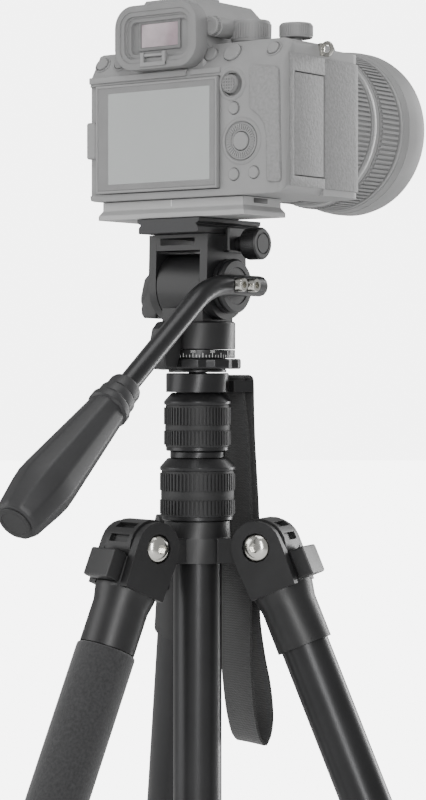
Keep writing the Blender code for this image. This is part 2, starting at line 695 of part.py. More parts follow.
def pan_base(frame):
    """The fixed part of the pan joint, with the degree ring and the spindle."""
    neck_bottom = PLATFORM_TOP + GAP
    ring_top = LOCK_RING_BOTTOM + LOCK_RING_HEIGHT + GAP
    neck = BASE_NECK_RADIUS - 0.5 * MM
    stud_room = 4.6 * MM + GAP
    profile = [
        (stud_room, neck_bottom), (BASE_NECK_RADIUS, neck_bottom),
        (BASE_NECK_RADIUS, LOCK_RING_BOTTOM - GAP), (neck, LOCK_RING_BOTTOM - GAP),
        (neck, ring_top), (PAN_RADIUS - 0.2 * MM, ring_top), (PAN_RADIUS - 0.2 * MM, SCALE_TOP),
        (6 * MM, SCALE_TOP), (6 * MM, SCALE_TOP + 9 * MM), (0, SCALE_TOP + 9 * MM),
        (0, PLATFORM_TOP + 7 * MM), (stud_room, PLATFORM_TOP + 7 * MM),
    ]
    return turned("pan_base", profile, anodised(), frame)


def pan_housing(frame):
    """The turning housing: the pan drum, and the fluid drum of the tilt joint with its axle."""
    low = SCALE_TOP + GAP
    spindle = 6 * MM + TURN_GAP
    profile = [
        (spindle, low), (PAN_RADIUS, low), (PAN_RADIUS, PAN_TOP - 0.8 * MM),
        (PAN_RADIUS - 0.8 * MM, PAN_TOP), (0, PAN_TOP), (0, SCALE_TOP + 9.5 * MM),
        (spindle, SCALE_TOP + 9.5 * MM),
    ]
    housing = turned("pan_housing", profile, cast_black(), frame)
    web_low = (-DRUM_HALF_WIDTH + 0.5 * MM, -13 * MM, PAN_TOP - 1 * MM)
    web_high = (DRUM_HALF_WIDTH - 0.5 * MM, 13 * MM, TILT_HEIGHT - 1 * MM)
    add(housing, block("drum_web", web_low, web_high, None, frame))
    across = at(0, 0, TILT_HEIGHT, OUTWARD_X)
    add(housing, rod("drum", DRUM_RADIUS, -DRUM_HALF_WIDTH, DRUM_HALF_WIDTH, None, frame, across))
    axle = CRADLE_HALF_WIDTH - 0.4 * MM
    add(housing, rod("tilt_axle", AXLE_RADIUS, -axle, axle, None, frame, across, SMALL_ROUND))
    return housing


def wing_knob(name, parent, matrix):
    """A wing knob, its own +Z along its screw and its long wing towards its own +X."""
    outline = [
        (6.5, 1.0), (8.8, 3.5), (8.2, 9.0), (4.7, 12.9), (-0.9, 14.5), (-5.0, 13.5), (-7.6, 13.5),
        (-10.7, 15.2), (-13.8, 14.9), (-15.8, 13.5), (-16.3, 5.0), (-13.5, 3.9), (-6.5, 3.9),
        (-6.0, 1.0),
    ]
    points = [(reach * MM, height * MM) for height, reach in outline]
    upright = Matrix(((0, -1, 0, 0), (0, 0, -1, 0), (1, 0, 0, 0), (0, 0, 0, 1)))
    return prism(name, points, -WING_THICKNESS / 2, WING_THICKNESS / 2, cast_black(), parent,
                 matrix @ upright, 1.4 * MM, 2)


def tilt_cradle(frame):
    """The forked cradle that tilts on the drum's axle and carries the plate clamp."""
    top = CRADLE_TOP - TILT_HEIGHT
    low = (-CRADLE_HALF_WIDTH, -CRADLE_HALF_DEPTH, top - CRADLE_BRIDGE)
    high = (CRADLE_HALF_WIDTH, CRADLE_HALF_DEPTH, top + 0.5 * MM)
    cradle = block("tilt_cradle", low, high, cast_black(), frame)
    outline = [(top - 0.2 * MM, CRADLE_HALF_DEPTH - 0.1 * MM)]
    outline += [(y, x) for x, y in arc((0, 0), DRUM_RADIUS, 0, -180, 16)]
    outline += [(top - 0.2 * MM, -CRADLE_HALF_DEPTH + 0.1 * MM)]
    outline = [(-z, y) for z, y in outline]
    for side, label in ((1, "right"), (-1, "left")):
        inner, outer = DRUM_HALF_WIDTH + TURN_GAP, CRADLE_HALF_WIDTH - 0.05 * MM
        low, high = sorted((side * inner, side * outer))
        add(cradle, prism(f"cradle_{label}_arm", outline, low, high, None, frame, OUTWARD_X))
    jaw_low = (CRADLE_HALF_WIDTH - 2 * MM, -3 * MM, top - 9 * MM)
    jaw_high = (CRADLE_HALF_WIDTH + 3.4 * MM, 15 * MM, top + 4 * MM)
    add(cradle, block("clamp_jaw", jaw_low, jaw_high, None, frame, None, 0.8 * MM, 1))
    lip_low = (-CRADLE_HALF_WIDTH - 3 * MM, -9 * MM, top - 4 * MM)
    lip_high = (-CRADLE_HALF_WIDTH + 2 * MM, 15 * MM, top + 4 * MM)
    add(cradle, block("fixed_jaw", lip_low, lip_high, None, frame, None, 0.8 * MM, 1))
    plate_room = HEAD_PLATE_HALF_WIDTH + GAP
    cut(cradle, block("plate_room", (-plate_room, -0.05, top), (plate_room, 0.05, top + 0.03),
                      None, frame))
    slot = block("cradle_slot", (-11.5 * MM, -0.05, top - 5.4 * MM),
                 (10.5 * MM, 0.05, top - 1.8 * MM), None, frame)
    cut(cradle, slot)
    bore = AXLE_RADIUS + TURN_GAP
    cut(cradle, rod("axle_bore", bore, -0.05, 0.05, None, frame, OUTWARD_X, SMALL_ROUND))
    shaft = at(0, CLAMP_KNOB_OFFSET, CLAMP_KNOB_RISE, OUTWARD_X)
    cut(cradle, rod("shaft_bore", 3.3 * MM, CRADLE_HALF_WIDTH - 4 * MM, 0.04, None, frame, shaft,
                    SMALL_ROUND))
    return cradle


def clamp_knob(frame):
    """The knurled knob of the plate clamp, on its screw."""
    start = CRADLE_HALF_WIDTH - 3.5 * MM
    shoulder = CRADLE_HALF_WIDTH + 3.4 * MM + GAP
    low, high = CLAMP_KNOB_REACH, CLAMP_KNOB_REACH + CLAMP_KNOB_LENGTH
    profile = [
        (0, start), (3 * MM, start), (3 * MM, shoulder), (4 * MM, shoulder), (4 * MM, low - 1 * MM),
        (CLAMP_KNOB_RADIUS - 2 * MM, low - 1 * MM), (CLAMP_KNOB_RADIUS, low + 1.5 * MM),
        (CLAMP_KNOB_RADIUS, high - 1 * MM), (CLAMP_KNOB_RADIUS - 1 * MM, high), (0, high),
    ]

    def knurls(radius, height, step):
        return radius - 0.5 * MM if radius > CLAMP_KNOB_RADIUS - 0.1 * MM and step % 2 else radius

    place = at(0, CLAMP_KNOB_OFFSET, CLAMP_KNOB_RISE, OUTWARD_X)
    return turned("clamp_knob", profile, rubber(), frame, place, 20, knurls)


# ---------------------------------------------------------------- pan handle
def handle_path():
    """The rod's middle line: level past the joint, one bend, then straight down and back."""
    tangent = ROD_BEND_RADIUS * math.tan(HANDLE_DROP / 2)
    points = [Vector((0, ROD_FRONT, 0)), Vector((0, -ROD_BEND_BACK + tangent, 0))]
    steps = 6
    for i in range(1, steps + 1):
        angle = HANDLE_DROP * i / steps
        points.append(Vector((
            0, -ROD_BEND_BACK + tangent - ROD_BEND_RADIUS * math.sin(angle),
            -ROD_BEND_RADIUS * (1 - math.cos(angle)),
        )))
    slope = Vector((0, -math.cos(HANDLE_DROP), -math.sin(HANDLE_DROP)))
    points.append(Vector((0, -ROD_BEND_BACK, 0)) + slope * ROD_STRAIGHT)
    return points


def pan_handle(frame):
    rod_piece = swept("handle_rod", handle_path(), ROD_RADIUS, anodised(), frame)
    rod_piece.matrix_local = at(HANDLE_SIDE)
    for i, back in enumerate(CLAMP_BOLT_BACKS):
        place = at(0, -back, 0, OUTWARD_X)
        cut(rod_piece, rod(f"rod_bolt_bore_{i}", 2 * MM + GAP, 0, 0.1, None, frame, place, 12))
        flat = CLAMP_BOLT_RADIUS + 0.7 * MM
        cut(rod_piece, rod(f"rod_bolt_seat_{i}", flat, HANDLE_SIDE + 3.4 * MM, 0.1, None, frame,
                           place, SMALL_ROUND))
    handle_clamp(frame)
    handle_grip(frame)


def handle_clamp(frame):
    """The toothed disc on the cradle's side, with the two socket bolts that hold the rod."""
    face = HANDLE_SIDE - ROD_RADIUS - GAP
    low = CRADLE_HALF_WIDTH + GAP
    profile = [
        (0, low), (HANDLE_DISC_RADIUS, low), (HANDLE_DISC_RADIUS, face - 1.5 * MM),
        (HANDLE_DISC_RADIUS - 1.5 * MM, face), (0, face),
    ]
    clamp = turned("handle_clamp", profile, cast_black(), frame, OUTWARD_X, 20)
    for i, back in enumerate(CLAMP_BOLT_BACKS):
        place = at(0, -back, 0, OUTWARD_X)
        seat = HANDLE_SIDE + 3.4 * MM + GAP
        bolt = [(0, face - 2 * MM), (2 * MM, face - 2 * MM), (2 * MM, seat),
                (CLAMP_BOLT_RADIUS, seat), (CLAMP_BOLT_RADIUS, seat + 5 * MM),
                (1.6 * MM, seat + 5 * MM), (1.6 * MM, seat + 3 * MM), (0, seat + 3 * MM)]
        add(clamp, turned(f"clamp_bolt_{i}", bolt, None, frame, place, 12))
    return clamp


def handle_grip(frame):
    """The facetted rubber grip, with three steps at its neck."""
    slope = Matrix.Rotation(math.radians(90) + HANDLE_DROP, 4, "X")
    place = at(HANDLE_SIDE, -ROD_BEND_BACK, 0) @ slope
    start, full = GRIP_START, GRIP_RADIUS
    bore = ROD_RADIUS + GAP
    bore_end = ROD_STRAIGHT + 1 * MM
    shape = [
        (0.42, 0.0), (0.56, 0.02), (0.56, 0.07), (0.63, 0.08), (0.63, 0.13), (0.7, 0.14),
        (0.68, 0.2), (1.0, 0.72), (0.95, 0.82), (0.72, 1.0),
    ]
    profile = [(full * r, start + t * GRIP_LENGTH) for r, t in shape]
    profile += [(0, start + GRIP_LENGTH), (0, bore_end), (bore, bore_end), (bore, start)]

    def facets(radius, height, step):
        facetted = radius > bore + 1 * MM and height > start + 0.15 * GRIP_LENGTH
        return radius * (0.9 if facetted and step % 3 else 1.0)

    return turned("handle_grip", profile, rubber(), frame, place, 15, facets)


# ---------------------------------------------------------------- camera
def head_plate(frame):
    """The black sliding plate of the head, with a groove along each side."""
    half = HEAD_PLATE_HALF_WIDTH
    top = HEAD_PLATE_HEIGHT
    side = [(half - 0.8 * MM, 0), (half - 0.8 * MM, 3 * MM), (half - 2 * MM, 4.4 * MM),
            (half, 5.6 * MM), (half, top)]
    outline = side + [(-x, z) for x, z in reversed(side)]
    stand = Matrix.Rotation(math.radians(90), 4, "X")
    return prism("head_plate", outline, -HEAD_PLATE_FRONT, -HEAD_PLATE_BACK, anodised(), frame,
                 at(0, 0, PLATE_BOTTOM) @ stand)


def camera_plate(frame):
    half, back, front = CAMERA_PLATE_HALF_WIDTH, CAMERA_PLATE_BACK, CAMERA_PLATE_FRONT
    low, flare = CAMERA_PLATE_BOTTOM, CAMERA_PLATE_FLARE

    def level(z, grow):
        return (low + z, -half - grow, half + grow, back - grow, front + grow)

    levels = [level(0, flare), level(2.4 * MM, flare), level(5 * MM, 0),
              level(CAMERA_PLATE_HEIGHT, 0)]
    return stack("camera_plate", levels, pale_metal(), frame)


def slope_at(height):
    """How far forward the upper back has leaned at a height."""
    return SLOPE_DEPTH * (height - SLOPE_START) / (BODY_HEIGHT - SLOPE_START)


def slope_turn():
    lean = math.atan2(SLOPE_DEPTH, BODY_HEIGHT - SLOPE_START)
    return Matrix.Rotation(math.radians(90) - lean, 4, "X")


BACK_BUTTONS = {
    "fn_button": (42.9 * MM, 43.0 * MM, 3.1 * MM),
    "play_button": (42.9 * MM, 10.1 * MM, 3.1 * MM),
    "delete_button": (55.1 * MM, 10.5 * MM, 3.1 * MM),
}
SLOPE_BUTTONS = {
    "custom_button": (25.5 * MM, BODY_HEIGHT - 5.7 * MM, 3.9 * MM),
    "focus_button": (38.9 * MM, BODY_HEIGHT - 5.7 * MM, 4.9 * MM),
}
WHEEL_PLACE = (47.5 * MM, 26.4 * MM)
WHEEL_RADIUS = 9.4 * MM
WHEEL_HUB = 4.7 * MM
WHEEL_DEPTH = 2.7 * MM
STICK_PLACE = (41.7 * MM, 55.0 * MM)
STICK_RADIUS = 4.7 * MM
MODE_DIAL = (36.2 * MM, -3 * MM, 10.5 * MM)
EXPOSURE_DIAL = (61.8 * MM, 0 * MM, 8.6 * MM)
SHUTTER = (59 * MM, 30 * MM, 5 * MM)


def camera_body(frame):
    """The body shell in one piece: main block, grip, finder hump and lens mount."""
    outline = [
        (BODY_BACK, 0), (BODY_BACK, SLOPE_START), (BODY_BACK + SLOPE_DEPTH, BODY_HEIGHT),
        (BODY_FRONT, BODY_HEIGHT), (BODY_FRONT, 0),
    ]
    upright = Matrix(((0, 0, 1, 0), (1, 0, 0, 0), (0, 1, 0, 0), (0, 0, 0, 1)))
    body = prism("camera_body", outline, BODY_LEFT, BODY_RIGHT, pale_body(), frame, upright,
                 BODY_EDGE, 3)
    grip = block("body_grip", (GRIP_LEFT, BODY_FRONT - 14 * MM, 0.3 * MM),
                 (BODY_RIGHT - 0.1 * MM, GRIP_FRONT, BODY_HEIGHT - 3 * MM), None, frame, None,
                 11 * MM, 4, lambda e: abs(e.verts[0].co.z - e.verts[1].co.z) > 0.01
                 and e.verts[0].co.y > BODY_FRONT)
    add(body, grip)
    half, top = HUMP_HALF_WIDTH, HUMP_TOP
    hump_outline = [(-half, BODY_HEIGHT - 14 * MM), (half, BODY_HEIGHT - 14 * MM)]
    hump_outline += [(half, BODY_HEIGHT + 3 * MM), (half - 4 * MM, top - 6 * MM)]
    hump_outline += [(half - 10 * MM, top), (-half + 10 * MM, top)]
    hump_outline += [(-half + 4 * MM, top - 6 * MM), (-half, BODY_HEIGHT + 3 * MM)]
    stand = Matrix.Rotation(math.radians(90), 4, "X")
    add(body, prism("finder_hump", hump_outline, -MOUNT_FACE + 2 * MM, -BODY_BACK - 1 * MM, None,
                    frame, stand, 1.5 * MM, 1))
    mount = at(0, 0, LENS_HEIGHT, FORWARD)
    add(body, rod("lens_mount", MOUNT_RADIUS, BODY_FRONT - 5 * MM, MOUNT_FACE, None, frame, mount))
    shoe = block("hot_shoe", (-9.5 * MM, -14 * MM, HUMP_TOP - 1 * MM),
                 (9.5 * MM, 6 * MM, HUMP_TOP + 1.6 * MM), None, frame)
    add(body, shoe)
    cut(body, block("shoe_channel", (-6.5 * MM, -15 * MM, HUMP_TOP + 0.2 * MM),
                    (6.5 * MM, 4 * MM, HUMP_TOP + 3 * MM), None, frame))
    cut_controls(body, frame)
    return body


def cut_controls(body, frame):
    """The recesses of the screen, the card door and every control."""
    floor = SCREEN_FACE + SCREEN_THICKNESS + 2 * MM
    cut(body, block("screen_recess", (BODY_LEFT - 5 * MM, -0.06, SCREEN_BOTTOM - 0.5 * MM),
                    (SCREEN_RIGHT + 0.5 * MM, floor, SCREEN_TOP + 0.5 * MM), None, frame))
    cut(body, block("door_recess", (BODY_RIGHT - DOOR_THICKNESS - 0.5 * MM,
                    DOOR_BACK - GAP, DOOR_BOTTOM - GAP),
                    (0.1, DOOR_FRONT + 0.9 * MM, DOOR_TOP + GAP), None, frame))
    pocket = BUTTON_DEPTH + BUTTON_TRAVEL + GAP
    for name, (x, z, radius) in BACK_BUTTONS.items():
        place = at(x, BODY_BACK, z, REARWARD)
        cut(body, rod(f"{name}_pocket", radius + GAP, -pocket, 5 * MM, None, frame, place, SMALL_ROUND))
    for name, (x, z, radius) in SLOPE_BUTTONS.items():
        place = at(x, BODY_BACK + slope_at(z), z, slope_turn())
        cut(body, rod(f"{name}_pocket", radius + GAP, -pocket, 5 * MM, None, frame, place, SMALL_ROUND))
    place = at(WHEEL_PLACE[0], BODY_BACK, WHEEL_PLACE[1], REARWARD)
    cut(body, rod("wheel_pocket", WHEEL_RADIUS + GAP, -WHEEL_DEPTH - GAP, 5 * MM, None, frame, place, 20))
    place = at(STICK_PLACE[0], BODY_BACK, STICK_PLACE[1], REARWARD)
    cut(body, rod("stick_pocket", STICK_RADIUS + 1.2 * MM, -3.1 * MM, 5 * MM, None, frame, place,
                  SMALL_ROUND))
    for name, (x, y, radius) in (("mode", MODE_DIAL), ("exposure", EXPOSURE_DIAL)):
        place = at(x, y, BODY_HEIGHT)
        cut(body, rod(f"{name}_dial_bore", 3 * MM + GAP, -4 * MM, 5 * MM, None, frame, place, SMALL_ROUND))
    x, y, radius = SHUTTER
    place = at(x, y, BODY_HEIGHT - 3 * MM)
    cut(body, rod("shutter_bore", radius + GAP, -pocket, 5 * MM, None, frame, place, SMALL_ROUND))


def press_button(name, radius, frame, place, proud=BUTTON_PROUD, depth=BUTTON_DEPTH):
    profile = [
        (0, -depth), (radius, -depth), (radius, proud - 0.4 * MM), (radius - 0.4 * MM, proud),
        (0, proud),
    ]
    return turned(name, profile, pale_body(), frame, place, SMALL_ROUND)


def knurled_dial(name, radius, low, high, frame, place, teeth):
    """A dial on its own spindle, knurled round its rim."""
    profile = [
        (0, -3.5 * MM), (3 * MM, -3.5 * MM), (3 * MM, low), (radius, low), (radius, high - 0.8 * MM),
        (radius - 0.8 * MM, high), (0, high),
    ]

    def knurls(point_radius, height, step):
        return point_radius - 0.5 * MM if point_radius > radius - 0.1 * MM and step % 2 \
            else point_radius

    return turned(name, profile, pale_body(), frame, place, 2 * teeth, knurls)


def camera_controls(frame):
    for name, (x, z, radius) in BACK_BUTTONS.items():
        press_button(name, radius, frame, at(x, BODY_BACK, z, REARWARD))
    for name, (x, z, radius) in SLOPE_BUTTONS.items():
        press_button(name, radius, frame, at(x, BODY_BACK + slope_at(z), z, slope_turn()), 1.4 * MM)
    x, y, radius = SHUTTER
    press_button("shutter_button", radius, frame, at(x, y, BODY_HEIGHT - 3 * MM), 2.4 * MM)
    place = at(WHEEL_PLACE[0], BODY_BACK, WHEEL_PLACE[1], REARWARD)
    hub = WHEEL_HUB + GAP
    profile = [(hub, -WHEEL_DEPTH), (WHEEL_RADIUS, -WHEEL_DEPTH), (WHEEL_RADIUS, 0.6 * MM),
               (WHEEL_RADIUS - 1 * MM, 1.3 * MM), (hub, 0.9 * MM)]
    turned("control_wheel", profile, pale_body(), frame, place, 20)
    press_button("select_button", WHEEL_HUB, frame, place, 1.2 * MM, WHEEL_DEPTH - BUTTON_TRAVEL)
    place = at(STICK_PLACE[0], BODY_BACK, STICK_PLACE[1], REARWARD)
    stick = [(0, -2.3 * MM), (2.2 * MM, -2.3 * MM), (2.2 * MM, 0.2 * MM),
             (STICK_RADIUS - 0.5 * MM, 0.6 * MM), (STICK_RADIUS, 1.6 * MM),
             (STICK_RADIUS - 0.7 * MM, 3 * MM), (0, 3.2 * MM)]
    turned("joystick", stick, pale_rubber(), frame, place, SMALL_ROUND)
    x, y, radius = MODE_DIAL
    knurled_dial("mode_dial", radius, 1.2 * MM, 12.5 * MM, frame, at(x, y, BODY_HEIGHT), 12)
    x, y, radius = EXPOSURE_DIAL
    knurled_dial("exposure_dial", radius, 2.0 * MM, 9.4 * MM, frame, at(x, y, BODY_HEIGHT), 10)


def camera_screen(frame):
    """The screen panel and the hinge block that it swings out on."""
    hinge = at(SCREEN_HINGE.x, SCREEN_HINGE.y)
    low = (SCREEN_LEFT - SCREEN_HINGE.x, SCREEN_FACE - SCREEN_HINGE.y, SCREEN_BOTTOM)
    high = (SCREEN_RIGHT - SCREEN_HINGE.x, SCREEN_FACE + SCREEN_THICKNESS - SCREEN_HINGE.y,
            SCREEN_TOP)
    block("screen_panel", low, high, screen_face(), frame, hinge, 1 * MM, 1)
    low = (-3 * MM, -2 * MM, 22 * MM)
    high = (SCREEN_LEFT - SCREEN_HINGE.x - GAP, 2.4 * MM, 41 * MM)
    block("screen_hinge", low, high, pale_body(), frame, hinge, 0.8 * MM, 1)


def eyecup(frame):
    stand = at(0, 0, EYECUP_HEIGHT) @ REARWARD
    half = EYECUP_HALF
    outline = rounded_rectangle(half.x, half.y, 11 * MM, 4)
    cup = prism("eyecup", outline, -BODY_BACK - 1 * MM + GAP, -EYECUP_BACK, pale_rubber(), frame,
                stand, 1.5 * MM, 2)
    opening = rounded_rectangle(17.5 * MM, 12 * MM, 5 * MM, 3)
    cut(cup, prism("eyecup_opening", opening, 0, 0.1, None, frame, stand))
    return cup


def card_door(frame):
    hinge = at(BODY_RIGHT + 0.2 * MM, DOOR_FRONT + 0.4 * MM)
    low = (-DOOR_THICKNESS - 0.2 * MM, DOOR_BACK - DOOR_FRONT - 0.4 * MM, DOOR_BOTTOM)
    high = (-0.2 * MM, -0.4 * MM, DOOR_TOP)
    return block("card_door", low, high, pale_rubber(), frame, hinge, 0.4 * MM, 1)


def lens(frame):
    """The barrel with its two turning rings and the front glass."""
    place = at(0, 0, LENS_HEIGHT, FORWARD)
    seat = ZOOM_RADIUS - 3 * MM
    focus_seat = FOCUS_RADIUS - 3 * MM
    rim = GLASS_RADIUS + GAP
    glass_back = LENS_FRONT - 13 * MM
    profile = [
        (0, MOUNT_FACE + GAP), (MOUNT_RADIUS, MOUNT_FACE + GAP), (MOUNT_RADIUS, 38 * MM),
        (38 * MM, 42 * MM), (38 * MM, 60 * MM), (40 * MM, 63 * MM),
        (ZOOM_RADIUS - 0.8 * MM, ZOOM_RING[0] - 4 * MM),
        (ZOOM_RADIUS - 0.8 * MM, ZOOM_RING[0] - GAP), (seat, ZOOM_RING[0] - GAP),
        (seat, ZOOM_RING[1] + GAP), (ZOOM_RADIUS, ZOOM_RING[1] + GAP),
        (ZOOM_RADIUS + 0.8 * MM, FOCUS_RING[0] - GAP), (focus_seat, FOCUS_RING[0] - GAP),
        (focus_seat, FOCUS_RING[1] + GAP), (LENS_RADIUS, FOCUS_RING[1] + GAP),
        (LENS_RADIUS, LENS_FRONT - 4 * MM), (LENS_RADIUS - 1 * MM, LENS_FRONT),
        (GLASS_RADIUS + 4 * MM, LENS_FRONT), (rim, LENS_FRONT - 5 * MM), (rim, glass_back),
        (0, glass_back),
    ]
    turned("lens_barrel", profile, pale_body(), frame, place, ROUND)
    tube_ring("zoom_ring", seat + TURN_GAP, ZOOM_RADIUS, ZOOM_RING, frame, place)
    tube_ring("focus_ring", focus_seat + TURN_GAP, FOCUS_RADIUS, FOCUS_RING, frame, place)
    edge = glass_back + GAP
    dome = [(0, edge), (GLASS_RADIUS, edge), (GLASS_RADIUS, edge + 2 * MM),
            (0.75 * GLASS_RADIUS, edge + 4.5 * MM), (0.4 * GLASS_RADIUS, edge + 6 * MM),
            (0, edge + 6.5 * MM)]
    turned("front_element", dome, glass(), frame, place, ROUND)


def tube_ring(name, inner, outer, span, frame, place):
    low, high = span
    profile = [
        (inner, low), (outer - 0.6 * MM, low), (outer, low + 1 * MM), (outer, high - 1 * MM),
        (outer - 0.6 * MM, high), (inner, high),
    ]

    def ribs(radius, height, step):
        return radius - 0.6 * MM if radius > outer - 0.1 * MM and step % 2 else radius

    return turned(name, profile, pale_rubber(), frame, place, 28, ribs)


# ---------------------------------------------------------------- assembly
def centre_over_floor(base):
    """Moves the whole model so that its overall box stands centred over the origin."""
    graph = bpy.context.evaluated_depsgraph_get()
    corners = []
    for piece in bpy.data.objects:
        if piece.type == "MESH" and not piece.hide_render:
            solid = piece.evaluated_get(graph)
            corners += [solid.matrix_world @ vertex.co for vertex in solid.data.vertices]
    for axis in (0, 1):
        places = [corner[axis] for corner in corners]
        base.location[axis] = -(min(places) + max(places)) / 2


def main():
    for old in list(bpy.data.objects):
        bpy.data.objects.remove(old)
    base = empty("floor_centre")
    for number in range(LEG_COUNT):
        build_leg(number, base)
    column_frame = empty("column_frame", base, at(z=SPIDER_BOTTOM))
    spider(column_frame)
    column(column_frame)
    wrist_strap(column_frame)
    head_lock_ring(column_frame)
    pan_base(column_frame)
    pan_housing(column_frame)
    pan_side = Matrix.Rotation(math.radians(-90), 4, "Z")
    wing_knob("pan_knob", column_frame,
              at(z=PAN_KNOB_HEIGHT) @ pan_side @ at(x=PAN_RADIUS - 0.4 * MM) @ OUTWARD_X)
    tilt_frame = empty("tilt_axis", column_frame, at(z=TILT_HEIGHT))
    tilt_cradle(tilt_frame)
    clamp_knob(tilt_frame)
    wing_knob("tilt_knob", tilt_frame,
              Matrix.Rotation(math.pi, 4, "Z") @ at(x=CRADLE_HALF_WIDTH - 0.6 * MM) @ OUTWARD_X)
    pan_handle(tilt_frame)
    head_plate(column_frame)
    camera_plate(column_frame)
    camera_frame = empty("camera_base", column_frame, at(z=BODY_BOTTOM))
    camera_body(camera_frame)
    camera_controls(camera_frame)
    camera_screen(camera_frame)
    eyecup(camera_frame)
    card_door(camera_frame)
    lens(camera_frame)
    centre_over_floor(base)


main()
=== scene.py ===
"""Finishes and fine detail for a mirrorless camera on a travel tripod, built round its frame."""

import json
import math

import bmesh
import bpy
from mathutils import Matrix, Vector


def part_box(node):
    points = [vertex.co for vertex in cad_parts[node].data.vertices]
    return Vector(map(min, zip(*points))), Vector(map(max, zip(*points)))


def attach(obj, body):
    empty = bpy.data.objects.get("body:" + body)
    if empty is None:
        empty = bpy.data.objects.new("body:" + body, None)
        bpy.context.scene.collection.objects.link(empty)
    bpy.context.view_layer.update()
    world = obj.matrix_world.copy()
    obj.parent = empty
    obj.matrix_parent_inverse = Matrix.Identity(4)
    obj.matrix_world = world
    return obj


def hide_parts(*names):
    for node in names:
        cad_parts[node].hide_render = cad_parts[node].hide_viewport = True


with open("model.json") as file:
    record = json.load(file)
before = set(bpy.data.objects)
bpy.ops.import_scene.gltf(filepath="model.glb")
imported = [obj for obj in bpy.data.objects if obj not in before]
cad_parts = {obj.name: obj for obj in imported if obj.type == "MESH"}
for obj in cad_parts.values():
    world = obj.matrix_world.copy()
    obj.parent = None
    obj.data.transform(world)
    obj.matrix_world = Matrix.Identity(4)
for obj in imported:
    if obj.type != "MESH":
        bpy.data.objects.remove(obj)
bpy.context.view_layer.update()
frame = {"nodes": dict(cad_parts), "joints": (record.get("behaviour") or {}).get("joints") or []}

bl_info = {
    "name": "Camera on travel tripod",
    "version": (1, 0, 0),
    "blender": (4, 5, 0),
    "location": "3D View > Sidebar > Tripod",
    "description": "Builds the finishes and fine detail of a camera on a travel tripod",
    "category": "Object",
}

MM = 0.001
JOINTS = {joint["name"]: joint for joint in frame["joints"]}
COLUMN = Vector(JOINTS["pan"]["pos_m"])
SPIDER_BOTTOM = COLUMN.z
TILT_AXIS = Vector(JOINTS["tilt"]["pos_m"])
LENS_AXIS = Vector(JOINTS["zoom_turn"]["pos_m"])
BODY_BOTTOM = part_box("camera_body")[0].z
LEG_FRAMES = {}
DEGREE_MARKS, DEGREE_NUMBERS = 72, 12
BACK = -27.0  # the camera's back face, in mm from the column's axis
SHARP_EDGE = math.radians(31)
BEVEL_EDGE = math.radians(32)
EYE_ASIDE = 8.01 * MM
VIEW_SHIFT = -0.0375
SOFT_LIGHT, SEEN_WORLD, SEEN_FLOOR = 0.42, 7.0, 6.5
FLOOR_RADIUS = 12000.0


def leg_frame(number):
    """A leg's own axes: z up along the leg from its pivot, x outwards, y across."""
    if number not in LEG_FRAMES:
        across = -Vector(JOINTS[f"leg_{number}_spread"]["axis"])
        up = -Vector(JOINTS[f"leg_{number}_extension"]["axis"])
        out = Vector(JOINTS[f"leg_{number}_latch_pull"]["axis"])
        turn = Matrix((out, across, up)).transposed().to_4x4()
        pivot = Vector(JOINTS[f"leg_{number}_spread"]["pos_m"])
        LEG_FRAMES[number] = Matrix.Translation(pivot) @ turn
    return LEG_FRAMES[number]


def column_place():
    """On the column's axis, at the spider's underside."""
    return Matrix.Translation(COLUMN)


def camera_place(x=0.0, y=0.0, z=0.0):
    """In the camera's own axes, in mm from its underside below the lens axis."""
    corner = Vector((COLUMN.x, COLUMN.y, BODY_BOTTOM))
    return Matrix.Translation(corner + Vector((x, y, z)) * MM)


def turned_by(degrees, axis):
    return Matrix.Rotation(math.radians(degrees), 4, axis)


TO_BACK = turned_by(90, "X")
TO_FRONT = turned_by(-90, "X")
TO_RIGHT = turned_by(90, "Y")


# ---------------------------------------------------------------- sizes and colours
def colour(name, description, default):
    return bpy.props.FloatVectorProperty(
        name=name, description=description, subtype="COLOR", size=3, min=0, max=1, default=default)


def length(name, description, low, high, default):
    return bpy.props.FloatProperty(
        name=name, description=description, subtype="DISTANCE", unit="LENGTH", min=low, max=high,
        default=default)


class TripodFinish(bpy.types.PropertyGroup):
    """Colours and surface of the tripod and its head."""

    metal: colour("Black metal", "Colour of the anodised tubes", (0.03, 0.03, 0.031))
    casting: colour("Castings", "Colour of the painted castings", (0.0115, 0.0115, 0.012))
    rubber: colour("Rubber", "Colour of the locks and feet", (0.014, 0.014, 0.0145))
    foam: colour("Foam", "Colour of the foam sleeve", (0.03, 0.03, 0.031))
    lock_ribs: bpy.props.IntProperty(
        name="Lock ribs", description="Ribs round each column lock", min=12, max=90, default=58)
    strap_width: length("Strap width", "Width of the wrist strap's webbing", 0.01, 0.03, 25 * MM)
    strap_thickness: length("Strap thickness", "Thickness of the webbing", 0.0005, 0.003, 1.3 * MM)


class CameraFinish(bpy.types.PropertyGroup):
    """Colours of the camera and its plate."""

    shell: colour("Shell", "Colour of the camera's shell", (0.235, 0.235, 0.235))
    skin: colour("Grip skin", "Colour of the grained grip skin", (0.225, 0.225, 0.225))
    screen: colour("Screen", "Colour of the display", (0.27, 0.285, 0.28))
    plate: colour("Plate", "Colour of the light plate", (0.33, 0.33, 0.33))
    ring_ribs: bpy.props.IntProperty(
        name="Lens ribs", description="Ribs round the zoom and focus rings", min=24, max=240,
        default=100)


